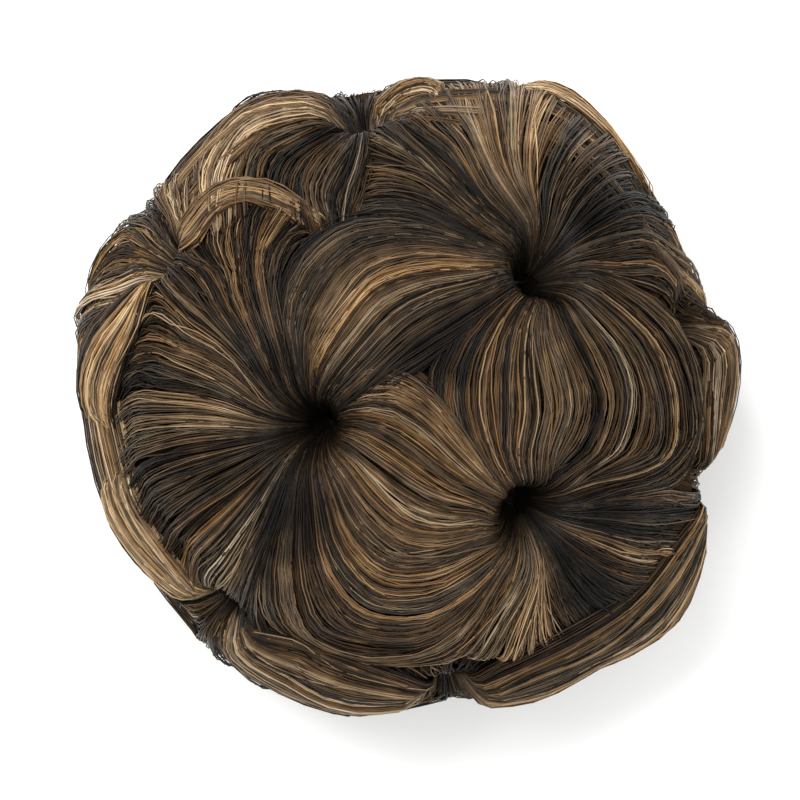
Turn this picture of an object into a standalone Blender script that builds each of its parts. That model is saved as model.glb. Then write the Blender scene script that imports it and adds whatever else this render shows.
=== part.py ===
"""Top knot hairpiece: rolled curls of hair, sewn round a hollow net cap that sits over the wearer's own bun.

Run with: blender --background --python part.py
Metres, +Z up. The piece stands on the flat underside of its rim band, with its crown up.

Every curl is a closed solid. It fills one cell of a cap-shaped layer: the directions, seen from the
middle of the bun, that lie nearer to its own hole than to a neighbour's. Over that cell its surface
climbs out of the hole, rolls over a crown and drops into the crease that it shares with the next curl.
"""

from collections import namedtuple
from math import acos, atan2, cos, degrees, exp, hypot, log, pi, radians, sin, sqrt

import bmesh
import bpy
from mathutils import Vector

# Driving sizes of the hair
BUN_RADIUS = 0.0745  # half the width over the side curls, as a mean
BUN_RISE = 0.059  # crown of the top curls over the middle of the bun
BUN_TUCK = 0.042  # how far down the side curls would close in under the middle
MIDDLE_HEIGHT = 0.027  # middle of the bun over the surface that it stands on
HAIR_LIFT = 0.0007  # underside of the side curls over that surface
HOLE_RADIUS = 0.0024  # bottom of a curl's hole
HOLE_FLOOR = 0.004  # hair left between the bottom of a hole and the cap, at the least
HOLE_DEPTH = 0.019  # from a curl's crown to the bottom of its hole, at the most
LEAST_HAIR = 0.004  # width of hair outside the cap at the foot of the side curls
LOCK_DEPTH = 0.0009  # half the height from the grooves between locks to their ridges
CURL_GAP = 0.00045  # between two curls, at the cap
HAIR_ON_CAP = 0.0008  # between a curl's underside and the cap

# Driving sizes of the cap, its band and the comb
CAP_RADIUS = 0.040  # outside
CAP_WALL = 0.0024
BAND_HEIGHT = 0.009
BAND_WALL = 0.0032
BAND_EASE = 0.0008  # bevel of its upper inner edge
SEAM_GAP = 0.0003  # between two sewn pieces
COMB_WIDTH = 0.042  # along the band
COMB_SPINE = 0.0055  # height of the spine
COMB_THICK = 0.0022
COMB_TOOTH = 0.019  # length of a tooth over the spine
COMB_TEETH = 9
TOOTH_TIP = 0.55  # of a tooth's thickness and width at the spine

# Form of a curl, as shares
CROWN_AT = 0.50  # of the way from the hole to the crease
HOLE_ROUNDNESS = 2.7  # power of the arc from the hole to the crown
CREASE_ROUNDNESS = 2.4  # power of the arc from the crown to the crease
CREASE_AT_EQUATOR = 0.35  # of a curl's crease share, level with the middle of the bun
CREASE_GROWTH = 1.2  # of that share, added from there to straight above
CORNER_SHARPNESS = 30.0  # of a cell's corners, per radian
CLIMB = (0.0, 0.045, 0.14, 0.30, 0.50, 0.70, 0.85, 0.95, 1.0)  # rings from the hole to the crease
UNDERSIDE = (0.75, 0.50, 0.25)  # rings from the cell's edge to its middle, on the cap
LOCK_FADE = 0.7  # power of the sine that takes the locks' ridges out at the hole and the crease
CAP_RINGS = 9
CAP_SIDES = 32
BAND_SIDES = 48
SHARP_FROM = 50  # degrees between faces

# Reach of the hair round the sides, each 10 degrees of azimuth from +X, as a share of BUN_RADIUS
SIDE_REACH = (
    1.020, 1.010, 0.965, 0.950, 0.945, 0.995, 1.030, 1.020, 0.945,
    0.965, 0.940, 0.990, 1.020, 0.970, 0.965, 0.995, 1.015, 1.000,
    0.985, 0.955, 0.960, 0.980, 0.975, 0.970, 0.975, 0.995, 0.985,
    0.975, 0.965, 0.985, 1.000, 1.035, 1.070, 1.045, 1.000, 0.950,
)

# One row for each curl: where its hole is, seen from the middle of the bun, in degrees (azimuth from +X,
# tilt from +Z), how much of the space between holes it takes, its reach as a share of the bun's, the share
# of the hair's thickness that its crease cuts away, its locks, how far they swirl between hole and crease,
# in degrees, and the facets round it
Curl = namedtuple("Curl", "name azimuth tilt claim reach crease locks swirl facets")
CURLS = (
    Curl("curl_top_right", 43, 41, 0.150, 1.02, 0.10, 8, -14, 48),
    Curl("curl_top_left", 200, 22, 0.130, 1.02, 0.11, 8, 10, 48),
    Curl("curl_top_front", 315, 39, 0.090, 1.01, 0.11, 8, 12, 48),
    Curl("curl_back", 97, 69, 0.000, 1.00, 0.24, 8, 14, 40),
    Curl("curl_back_left", 153, 66, 0.010, 1.00, 0.24, 8, -12, 40),
    Curl("curl_front_left", 221, 84, 0.000, 1.00, 0.24, 8, -14, 40),
    Curl("curl_front", 277, 84, 0.000, 1.00, 0.24, 8, 16, 40),
    Curl("curl_front_right", 339, 86, 0.020, 1.00, 0.24, 8, -14, 40),
    Curl("curl_right", 20, 85, 0.000, 1.01, 0.24, 8, 14, 40),
)

HAIR_COLOUR = (0.066, 0.045, 0.027)
NET_COLOUR = (0.020, 0.017, 0.015)
ELASTIC_COLOUR = (0.013, 0.012, 0.012)
COMB_COLOUR = (0.030, 0.020, 0.014)


def make_material(name, colour, roughness, metallic=0.0):
    material = bpy.data.materials.new(name)
    material.use_nodes = True
    shader = material.node_tree.nodes["Principled BSDF"]
    shader.inputs["Base Color"].default_value = (*colour, 1.0)
    shader.inputs["Roughness"].default_value = roughness
    shader.inputs["Metallic"].default_value = metallic
    return material


def make_object(name, shape, material):
    """Turns a bmesh into a named object, with its faces pointing out and shaded smooth but at edges."""
    bmesh.ops.recalc_face_normals(shape, faces=shape.faces)
    mesh = bpy.data.meshes.new(name)
    shape.to_mesh(mesh)
    shape.free()
    mesh.materials.append(material)
    mesh.shade_smooth()
    mesh.set_sharp_from_angle(angle=radians(SHARP_FROM))
    made = bpy.data.objects.new(name, mesh)
    bpy.context.scene.collection.objects.link(made)
    return made


def add_ring(shape, points):
    return [shape.verts.new(point) for point in points]


def join_rings(shape, first, second):
    """A band of quads between two rings with as many points."""
    count = len(first)
    for k in range(count):
        after = (k + 1) % count
        shape.faces.new((first[k], first[after], second[after], second[k]))


def close_ring(shape, ring, point):
    """A fan from a ring to one point."""
    tip = shape.verts.new(point)
    for k in range(len(ring)):
        shape.faces.new((ring[k], ring[(k + 1) % len(ring)], tip))


def direction(azimuth, tilt):
    """Unit vector from azimuth and tilt in degrees."""
    turn, lean = radians(azimuth), radians(tilt)
    return Vector((cos(turn) * sin(lean), sin(turn) * sin(lean), cos(lean)))


def tangents(axis):
    """Two unit vectors square to axis: the first points down the bun's side, the second turns left of it."""
    down = (axis * axis.z - Vector((0, 0, 1))).normalized()
    return down, axis.cross(down)


def side_reach(way):
    """Share of BUN_RADIUS that the sides reach on this azimuth, eased between the table's rows."""
    row, part = divmod(degrees(atan2(way.y, way.x)) % 360 / 360 * len(SIDE_REACH), 1)
    before = SIDE_REACH[int(row) % len(SIDE_REACH)]
    after = SIDE_REACH[(int(row) + 1) % len(SIDE_REACH)]
    return before + (after - before) * (3 - 2 * part) * part**2


def envelope_radius(way):
    """Distance from the middle of the bun to the smooth form that its curls' crowns touch."""
    flatness = way.x**2 + way.y**2
    radius = BUN_RADIUS * (1 + (side_reach(way) - 1) * flatness)
    rise = BUN_RISE if way.z > 0 else BUN_TUCK
    return 1 / sqrt(flatness / radius**2 + way.z**2 / rise**2)


def cap_distance(way, outside):
    """Distance from the middle of the bun to the cap, a dome over a straight skirt, grown by outside."""
    radius = CAP_RADIUS + outside
    return radius if way.z > 0 else radius / hypot(way.x, way.y)


def floor_distance(way):
    """Distance along way to the level of the side curls' undersides, or None where way doesn't meet it."""
    return (MIDDLE_HEIGHT - HAIR_LIFT) / -way.z if way.z < -1e-6 else None


def lowest_tilt():
    """Tilt in radians at the foot of the side curls."""
    return pi - atan2(CAP_RADIUS + HAIR_ON_CAP + LEAST_HAIR, MIDDLE_HEIGHT - HAIR_LIFT)


def angle_to_plane(level, along_axis, along_ray):
    """Angle from a curl's axis at which along_axis * cos + along_ray * sin falls to level, or None."""
    size = hypot(along_axis, along_ray)
    if abs(level) >= size:
        return None
    return atan2(along_ray, along_axis) + acos(level / size)


def cell_angle(curl, ray):
    """Angle from a curl's axis to the edge of its cell, along one ray, with the cell's corners rounded."""
    axis = direction(curl.azimuth, curl.tilt)
    limits = [angle_to_plane(cos(lowest_tilt()), axis.z, ray.z)]
    for other in CURLS:
        if other is curl:
            continue
        across = direction(other.azimuth, other.tilt)
        limits.append(
            angle_to_plane(other.claim - curl.claim, 1 - axis.dot(across), -ray.dot(across))
        )
    near = [limit for limit in limits if limit is not None and 0 < limit < pi / 2]
    soft = -log(sum(exp(-CORNER_SHARPNESS * limit) for limit in near)) / CORNER_SHARPNESS
    return soft - CURL_GAP / 2 / CAP_RADIUS


def arc_lift(share, roundness):
    """Height of a rounded shoulder: 0 at share 0, rising steeply, 1 and level at share 1."""
    return (1 - (1 - min(share, 1)) ** roundness) ** (1 / roundness)


def hair_distance(curl, way, climb, turn):
    """Distance from the middle of the bun to a curl's outer surface, at a share climb from hole to crease."""
    inner = cap_distance(way, HAIR_ON_CAP)
    crown = max(envelope_radius(way) * curl.reach, inner + HOLE_FLOOR + LEAST_HAIR)
    bottom = max(inner + HOLE_FLOOR, crown - HOLE_DEPTH)
    cut = curl.crease * (CREASE_AT_EQUATOR + CREASE_GROWTH * max(way.z, 0))
    crease = crown - cut * (crown - inner)
    if climb < CROWN_AT:
        distance = bottom + (crown - bottom) * arc_lift(climb / CROWN_AT, HOLE_ROUNDNESS)
    else:
        distance = crease + (crown - crease) * arc_lift(
            (1 - climb) / (1 - CROWN_AT), CREASE_ROUNDNESS
        )
    lock_turn = curl.locks * (turn - radians(curl.swirl) * climb)
    distance += LOCK_DEPTH * cos(lock_turn) * sin(pi * climb) ** LOCK_FADE
    floor = floor_distance(way)
    return distance if floor is None else min(distance, floor)


def make_curl(curl, material):
    middle = Vector((0, 0, MIDDLE_HEIGHT))
    axis = direction(curl.azimuth, curl.tilt)
    down, left = tangents(axis)
    turns = [2 * pi * k / curl.facets for k in range(curl.facets)]
    rays = [down * cos(turn) + left * sin(turn) for turn in turns]
    edges = [cell_angle(curl, ray) for ray in rays]
    hole_bottom = hair_distance(curl, axis, 0, 0)
    hole_angle = HOLE_RADIUS / hole_bottom

    def way_at(k, angle):
        return axis * cos(angle) + rays[k] * sin(angle)

    def outer_ring(climb):
        ring = []
        for k, turn in enumerate(turns):
            way = way_at(k, hole_angle + climb * (edges[k] - hole_angle))
            ring.append(middle + way * hair_distance(curl, way, climb, turn))
        return ring

    def under_ring(share):
        ways = [way_at(k, share * edges[k]) for k in range(curl.facets)]
        return [middle + way * cap_distance(way, HAIR_ON_CAP) for way in ways]

    shape = bmesh.new()
    rings = [add_ring(shape, outer_ring(climb)) for climb in CLIMB]
    rings += [add_ring(shape, under_ring(share)) for share in (1.0, *UNDERSIDE)]
    for first, second in zip(rings, rings[1:]):
        join_rings(shape, first, second)
    close_ring(shape, rings[0][::-1], middle + axis * hole_bottom)
    close_ring(shape, rings[-1], middle + axis * cap_distance(axis, HAIR_ON_CAP))
    return make_object(curl.name, shape, material)


def make_cap(material):
    """The net cap: a dome on a straight skirt, open below, standing on its rim band."""
    rim = BAND_HEIGHT + SEAM_GAP
    shape = bmesh.new()

    def ring_at(radius, height):
        turns = [2 * pi * k / CAP_SIDES for k in range(CAP_SIDES)]
        return add_ring(shape, [(radius * cos(turn), radius * sin(turn), height) for turn in turns])

    def dome_rings(radius):
        tilts = [pi / 2 * (1 - k / CAP_RINGS) for k in range(CAP_RINGS)]
        return [ring_at(radius * sin(tilt), MIDDLE_HEIGHT + radius * cos(tilt)) for tilt in tilts]

    outside = [ring_at(CAP_RADIUS, rim), *dome_rings(CAP_RADIUS)]
    inner_radius = CAP_RADIUS - CAP_WALL
    inside = [ring_at(inner_radius, rim), *dome_rings(inner_radius)]
    for wall in (outside, inside):
        for first, second in zip(wall, wall[1:]):
            join_rings(shape, first, second)
    join_rings(shape, outside[0], inside[0])
    close_ring(shape, outside[-1], (0, 0, MIDDLE_HEIGHT + CAP_RADIUS))
    close_ring(shape, inside[-1], (0, 0, MIDDLE_HEIGHT + inner_radius))
    return make_object("net_cap", shape, material)


def make_band(material):
    """The elastic band that edges the cap, flat below and bevelled above, on its inside."""
    inner, outer = CAP_RADIUS - BAND_WALL, CAP_RADIUS
    section = (
        (inner, 0.0),
        (outer, 0.0),
        (outer, BAND_HEIGHT),
        (inner + BAND_EASE, BAND_HEIGHT),
        (inner, BAND_HEIGHT - BAND_EASE),
    )
    shape = bmesh.new()
    rings = []
    for radius, height in section:
        turns = [2 * pi * k / BAND_SIDES for k in range(BAND_SIDES)]
        rings.append(add_ring(shape, [(radius * cos(t), radius * sin(t), height) for t in turns]))
    for first, second in zip(rings, [*rings[1:], rings[0]]):
        join_rings(shape, first, second)
    return make_object("rim_band", shape, material)


def make_comb(material):
    """A plain curved comb, sewn inside the band at -Y, its teeth standing up along the cap."""
    back = CAP_RADIUS - max(BAND_WALL, CAP_WALL) - SEAM_GAP
    front = back - COMB_THICK
    foot = BAND_HEIGHT - COMB_SPINE
    steps = 2 * COMB_TEETH - 1
    half_turn = COMB_WIDTH / 2 / back
    shape = bmesh.new()

    def point(step, radius, height):
        turn = -pi / 2 - half_turn + 2 * half_turn * step / steps
        return Vector((radius * cos(turn), radius * sin(turn), height))

    rows = [
        [shape.verts.new(point(step, radius, height)) for step in range(steps + 1)]
        for radius, height in (
            (back, foot),
            (front, foot),
            (front, foot + COMB_SPINE),
            (back, foot + COMB_SPINE),
        )
    ]
    tops = []
    for step in range(steps):
        for first, second in zip(rows, [*rows[1:], rows[0]]):
            face = shape.faces.new((first[step], first[step + 1], second[step + 1], second[step]))
            if first is rows[2]:
                tops.append(face)
    for end in (0, steps):
        shape.faces.new([row[end] for row in rows])
    for face in tops[::2]:
        grown = bmesh.ops.extrude_discrete_faces(shape, faces=[face])["faces"][0]
        centre = grown.calc_center_median()
        for vertex in grown.verts:
            vertex.co = centre + TOOTH_TIP * (vertex.co - centre) + Vector((0, 0, COMB_TOOTH))
    return make_object("side_comb", shape, material)


def stand_on_origin(pieces):
    """Moves the whole piece so that its box is centred over the origin and stands on it."""
    corners = [vertex.co for piece in pieces for vertex in piece.data.vertices]
    low = [min(corner[side] for corner in corners) for side in range(3)]
    high = [max(corner[side] for corner in corners) for side in range(3)]
    shift = Vector((-(low[0] + high[0]) / 2, -(low[1] + high[1]) / 2, -low[2]))
    for piece in pieces:
        for vertex in piece.data.vertices:
            vertex.co += shift
    return shift


def main():
    for old in list(bpy.data.objects):
        bpy.data.objects.remove(old)
    hair = make_material("hair", HAIR_COLOUR, 0.42)
    net = make_material("net", NET_COLOUR, 0.85)
    elastic = make_material("elastic", ELASTIC_COLOUR, 0.75)
    plastic = make_material("comb_plastic", COMB_COLOUR, 0.30)
    pieces = [make_curl(curl, hair) for curl in CURLS]
    pieces += [make_cap(net), make_band(elastic), make_comb(plastic)]
    shift = stand_on_origin(pieces)
    print("cap axis at", [round(value, 6) for value in shift])


main()
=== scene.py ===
import math

import bmesh
import bpy
import numpy as np
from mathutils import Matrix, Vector
from mathutils.bvhtree import BVHTree


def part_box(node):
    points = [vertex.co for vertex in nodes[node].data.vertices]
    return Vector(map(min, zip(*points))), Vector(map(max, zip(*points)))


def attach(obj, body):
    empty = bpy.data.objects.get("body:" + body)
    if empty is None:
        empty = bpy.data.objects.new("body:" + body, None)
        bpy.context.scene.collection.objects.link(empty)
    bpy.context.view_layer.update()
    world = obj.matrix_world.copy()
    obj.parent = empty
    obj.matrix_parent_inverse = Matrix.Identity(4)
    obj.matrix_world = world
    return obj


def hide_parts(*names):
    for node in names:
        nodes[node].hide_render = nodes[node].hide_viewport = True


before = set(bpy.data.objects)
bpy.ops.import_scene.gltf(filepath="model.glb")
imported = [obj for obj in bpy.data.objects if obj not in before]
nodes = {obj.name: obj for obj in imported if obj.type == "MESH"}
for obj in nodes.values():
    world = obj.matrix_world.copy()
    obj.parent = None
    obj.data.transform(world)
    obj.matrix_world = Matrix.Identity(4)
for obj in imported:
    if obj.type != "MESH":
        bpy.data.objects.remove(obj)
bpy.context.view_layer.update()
print("frame:", len(nodes), "nodes")

capLow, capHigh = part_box("net_cap")
capRadius = (capHigh.x - capLow.x) / 2
middle = np.array(((capLow.x + capHigh.x) / 2, (capLow.y + capHigh.y) / 2, capHigh.z - capRadius))

camera = {
    "height": 1.55,
    "width": 0.1791,         # across the picture, at level
    "level": 0.045,
    "centre": (-0.0016, -0.0002),
    "sensor": 36.0,
}


# Nodes

class Wire:
    # one output socket, with arithmetic that adds Math nodes
    def __init__(self, maker, socket):
        self.maker = maker
        self.socket = socket

    def maths(self, operation, first, second):
        return self.maker.wire("ShaderNodeMath", {"operation": operation}, {0: first, 1: second})

    def __add__(self, other): return self.maths("ADD", self, other)
    def __sub__(self, other): return self.maths("SUBTRACT", self, other)
    def __rsub__(self, other): return self.maths("SUBTRACT", other, self)
    def __mul__(self, other): return self.maths("MULTIPLY", self, other)
    __radd__ = __add__
    __rmul__ = __mul__


class NodeMaker:
    # adds nodes to one tree: type, settings, then the values or links of its sockets
    def __init__(self, tree):
        self.tree = tree

    def feed(self, socket, value):
        if isinstance(value, Wire):
            self.tree.links.new(value.socket, socket)
        elif isinstance(value, bpy.types.NodeSocket):
            self.tree.links.new(value, socket)
        else:
            socket.default_value = value

    def add(self, kind, settings=None, sockets=None):
        node = self.tree.nodes.new(kind)
        for name, value in (settings or {}).items():
            if name == "stops":
                self.setStops(node.color_ramp, value)
            else:
                setattr(node, name, value)
        for name, value in (sockets or {}).items():
            self.feed(node.inputs[name], value)
        return node

    def wire(self, kind, settings=None, sockets=None, output=0):
        return Wire(self, self.add(kind, settings, sockets).outputs[output])

    def setStops(self, ramp, stops):
        while len(ramp.elements) < len(stops):
            ramp.elements.new(0.5)
        for element, (place, colour) in zip(ramp.elements, stops):
            element.position = place
            element.color = (*colour, 1.0)


def newMaterial(name, fixed):
    material = bpy.data.materials.new(name)
    material.use_nodes = True
    shader = material.node_tree.nodes["Principled BSDF"]
    for socket, value in fixed.items():
        shader.inputs[socket].default_value = value
    return material, NodeMaker(material.node_tree), shader


def newPiece(name, mesh, materials=()):
    piece = bpy.data.objects.new(name, mesh)
    for material in materials:
        mesh.materials.append(material)
    bpy.context.scene.collection.objects.link(piece)
    return piece


# Holes that strands come out of. seen is where the camera has the middle of each, in millimetres from the
# middle of the picture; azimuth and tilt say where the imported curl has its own
holes = {
    "topRight": {"seen": (28.0, 26.0), "azimuth": 43, "tilt": 41, "node": "curl_top_right"},
    "topLeft": {"seen": (-17.0, -5.0), "azimuth": 200, "tilt": 22, "node": "curl_top_left"},
    "topFront": {"seen": (25.5, -22.5), "azimuth": 315, "tilt": 39, "node": "curl_top_front"},
    "back": {"seen": (-8.0, 60.0), "azimuth": 97, "tilt": 69, "node": "curl_back"},
    "backLeft": {"seen": (-51.5, 30.5), "azimuth": 153, "tilt": 66, "node": "curl_back_left"},
    "frontLeft": {"seen": (-39.5, -46.5), "azimuth": 221, "tilt": 84, "node": "curl_front_left"},
    "front": {"seen": (10.5, -63.5), "azimuth": 277, "tilt": 84, "node": "curl_front"},
    "frontRight": {"seen": (66.5, -19.5), "azimuth": 339, "tilt": 86, "node": "curl_front_right"},
    "right": {"seen": (64.0, 18.5), "azimuth": 20, "tilt": 85, "node": "curl_right"},
}
crownHoles = ("topRight", "topLeft", "topFront")
holeShape = {
    "depth": (0.014, 0.010),     # at its middle: crown, side
    "width": (0.0062, 0.0050),   # of the funnel
    "shade": (0.0230, 0.0100),   # how far the painted shade over the roots reaches
    "fullShade": 0.25,           # share of that within which it is full
    "filled": 0.0075,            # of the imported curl's own hole, filled in first
    "seenAt": (0.45, 0.15),      # share of the depth at which the camera has it
}


def holeValue(name, key):
    return holeShape[key][0 if name in crownHoles else 1]


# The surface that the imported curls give, as a distance from the middle of the bun on each bearing

surface = {
    "azimuths": 720,
    "tilts": 250,
    "lastTilt": 124.0,       # degrees from straight up
    "rayStart": 0.14,        # outside the whole piece
    "thinnest": 0.003,       # hair over the cap; less is a gap between two curls
    "softness": 1.2,         # degrees over which facets are evened out
    "perRadian": 0.07,       # metres along the surface to a radian, about
    "rimLevel": 0.036,       # where the bun is widest
    "foot": 0.0009,          # the lowest strands over the floor
}


def wayOf(azimuth, tilt):
    turn, lean = np.radians(azimuth), np.radians(tilt)
    return np.stack([np.cos(turn) * np.sin(lean), np.sin(turn) * np.sin(lean), np.cos(lean) + 0 * turn], -1)


def unitWays(ways):
    return ways / np.linalg.norm(ways, axis=-1, keepdims=True)


def curlTree():
    corners, faces, owners = [], [], []
    for index, hole in enumerate(holes.values()):
        mesh = nodes[hole["node"]].data
        first = len(corners)
        corners += [vertex.co.copy() for vertex in mesh.vertices]
        for face in mesh.polygons:
            faces.append([first + corner for corner in face.vertices])
            owners.append(index)
    return BVHTree.FromPolygons(corners, faces), np.array(owners)


def evenedOut(grid):
    # blurs by the same arc on every bearing
    rows, columns = grid.shape
    softness = surface["softness"]
    tilts = np.linspace(0, surface["lastTilt"], rows)
    width = np.radians(softness) / np.maximum(np.sin(np.radians(tilts)), 0.02)
    waves = np.fft.rfft(grid, axis=1)
    waves *= np.exp(-0.5 * (np.arange(waves.shape[1])[None, :] * width[:, None]) ** 2)
    grid = np.fft.irfft(waves, columns, axis=1)
    step = surface["lastTilt"] / rows
    margin = int(3 * softness / step) + 1
    weights = np.exp(-0.5 * (np.arange(-margin, margin + 1) * step / softness) ** 2)
    padded = np.pad(grid, ((margin, margin), (0, 0)), mode="edge")
    return sum(weight * padded[k:k + rows] for k, weight in enumerate(weights)) / weights.sum()


def neighbourMeans(grid):
    # the mean of each place's filled neighbours, 0 where it has none
    rows, columns = grid.shape
    padded = np.pad(np.pad(grid, ((1, 1), (0, 0)), mode="edge"), ((0, 0), (1, 1)), mode="wrap")
    near = [padded[a:rows + a, b:columns + b] for a in range(3) for b in range(3)]
    count = sum((part > 0).astype(float) for part in near)
    return sum(near) / np.maximum(count, 1)


def measureSurface():
    tree, owners = curlTree()
    rows, columns = surface["tilts"], surface["azimuths"]
    tilts = np.linspace(0, surface["lastTilt"], rows)[:, None]
    azimuths = np.arange(columns)[None, :] * 360 / columns
    ways = wayOf(azimuths + 0 * tilts, tilts + 0 * azimuths)
    reach = np.zeros((rows, columns))
    owner = np.full((rows, columns), -1)
    centre = Vector(middle)
    for row in range(rows):
        for column in range(columns):
            way = Vector(ways[row, column])
            spot, _, face, _ = tree.ray_cast(centre + way * surface["rayStart"], -way, surface["rayStart"])
            if face is not None:
                reach[row, column] = (spot - centre).length
                owner[row, column] = owners[face]
    flat = np.hypot(ways[..., 0], ways[..., 1])
    inner = np.where(ways[..., 2] > 0, capRadius, capRadius / np.maximum(flat, 0.2))
    reach[reach < inner + surface["thinnest"]] = 0
    for hole in holes.values():
        axis = wayOf(hole["azimuth"], hole["tilt"])
        off = np.linalg.norm(np.cross(ways, axis), axis=-1) * surface["perRadian"]
        reach[(off < holeShape["filled"]) & (ways @ axis > 0)] = 0
    while (reach == 0).any():
        reach = np.where(reach == 0, neighbourMeans(reach), reach)
    return evenedOut(reach), owner


def gridPlace(ways):
    unit = unitWays(ways)
    tilt = np.degrees(np.arccos(np.clip(unit[..., 2], -1, 1)))
    azimuth = np.degrees(np.arctan2(unit[..., 1], unit[..., 0])) % 360
    row = np.clip(tilt / surface["lastTilt"], 0, 0.9999) * (surface["tilts"] - 1)
    return row, azimuth / 360 * surface["azimuths"]


def reachAt(ways):
    row, column = gridPlace(ways)
    r0, c0 = row.astype(int), column.astype(int) % surface["azimuths"]
    r1, c1 = np.minimum(r0 + 1, surface["tilts"] - 1), (c0 + 1) % surface["azimuths"]
    down, across = row - r0, column - np.floor(column)
    upper = reachGrid[r0, c0] * (1 - across) + reachGrid[r0, c1] * across
    lower = reachGrid[r1, c0] * (1 - across) + reachGrid[r1, c1] * across
    return upper * (1 - down) + lower * down


def ownerAt(ways):
    row, column = gridPlace(ways)
    return ownerGrid[row.round().astype(int), column.round().astype(int) % surface["azimuths"]]


def seenWays(places, lowered=0.0):
    # bearings of the surface that the camera has at these places in the picture, in millimetres
    places = np.asarray(places, float) / 1000
    eye = np.array((*camera["centre"], camera["height"]))
    target = np.column_stack([places + np.array(camera["centre"]), np.full(len(places), camera["level"])])
    levels = np.linspace(0.100, 0.004, 193)
    share = (camera["height"] - levels) / (camera["height"] - camera["level"])
    points = eye + (target - eye)[:, None, :] * share[None, :, None]
    offset = points - middle
    over = np.linalg.norm(offset, axis=-1) - reachAt(offset) + lowered + funnels(unitWays(offset))
    inside = over < 0
    first = np.where(inside.any(1), inside.argmax(1), np.abs(levels - surface["rimLevel"]).argmin())
    return unitWays(offset[np.arange(len(places)), first])


def offAxis(ways, name):
    # distance from a hole's axis, far on the other side of the bun
    axis = holes[name]["way"]
    off = np.linalg.norm(np.cross(ways, axis), axis=-1) * surface["perRadian"]
    return np.where(ways @ axis > 0, off, 1.0)


def funnels(ways):
    # how far the holes that have been placed lower the surface
    drop = np.zeros(ways.shape[:-1])
    for name, hole in holes.items():
        if "way" in hole:
            drop += holeValue(name, "depth") * np.exp(-(offAxis(ways, name) / holeValue(name, "width")) ** 2)
    return drop


reachGrid, ownerGrid = measureSurface()
for name, hole in holes.items():
    hole["way"] = seenWays([hole["seen"]], holeValue(name, "seenAt") * holeValue(name, "depth"))[0]
print("surface: reach", round(float(reachGrid.min()), 4), "to", round(float(reachGrid.max()), 4))


# Hair

hair = {
    "radius": 0.00019,       # of a strand, at its thickest
    "rootShare": 0.6,        # thickness at the roots
    "perLock": 10,           # strands in a lock
    "lockRoom": 0.95,        # of a lock's room that its strands take
    "lockTone": 0.15,        # how much locks differ
    "lockToneRange": (-0.26, 0.22),
    "strandTone": 0.06,
    "lockWarmth": 0.30,
    "lightShare": 0.10,      # strands that are dyed lighter
    "lightStep": 0.22,
    "darkShare": 0.20,
    "darkStep": 0.20,
    "wander": 0.0006 / 0.065,  # radians that a strand strays from its lock's line
    "lockRise": 0.00035,
    "strandRise": 0.0006,
    "creaseRounds": 5,       # of evening out the surface along a strand, across its creases
    "endShare": 0.15,        # of a strand's length over which it leaves and joins the surface
    "tuckShare": 0.2,        # of its length over which a tucked end goes in
    "tipShare": 0.12,        # of its length over which a tucked end gets painted shade
    "tipShade": 0.85,
    "ragged": 0.09,          # of a strand's length, how much tucked ends differ
    "rootRagged": 0.012,     # the same where they aren't tucked
    "edge": 0.10,            # share of a sheet's width over which its lift fades at each edge
    "edgeLift": 0.35,        # share of the lift that is left there
    "stationGap": 0.0052,    # between two stations along a strand, about
    "stations": (8, 22),     # fewest and most along a strand
    "stationBias": 0.25,     # how much closer together they are towards the ends
    "bendWeight": 0.7,       # of bends against length in placing them
    "rooted": 6.5,           # millimetres from a side hole within which a guide's end is led into it
    "rootStep": 0.03,        # radians from the hole's axis at which it then ends
    "inset": (0.01, 0.04),   # the same for swags and fans
    "flyaways": 0.0125,      # of all strands
    "flyawayFirst": 20,
    "flyawayRise": 0.0005,
    "flyawayWander": 2.5,
    "swagStrands": 200,
    "swagStations": 14,
    "fanLift": -0.0003,
    "fanLeast": 0.24,        # radians that a fan's strands reach at least
    "fanFloor": -0.45,       # of a bearing's height, below which they end
}

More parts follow.
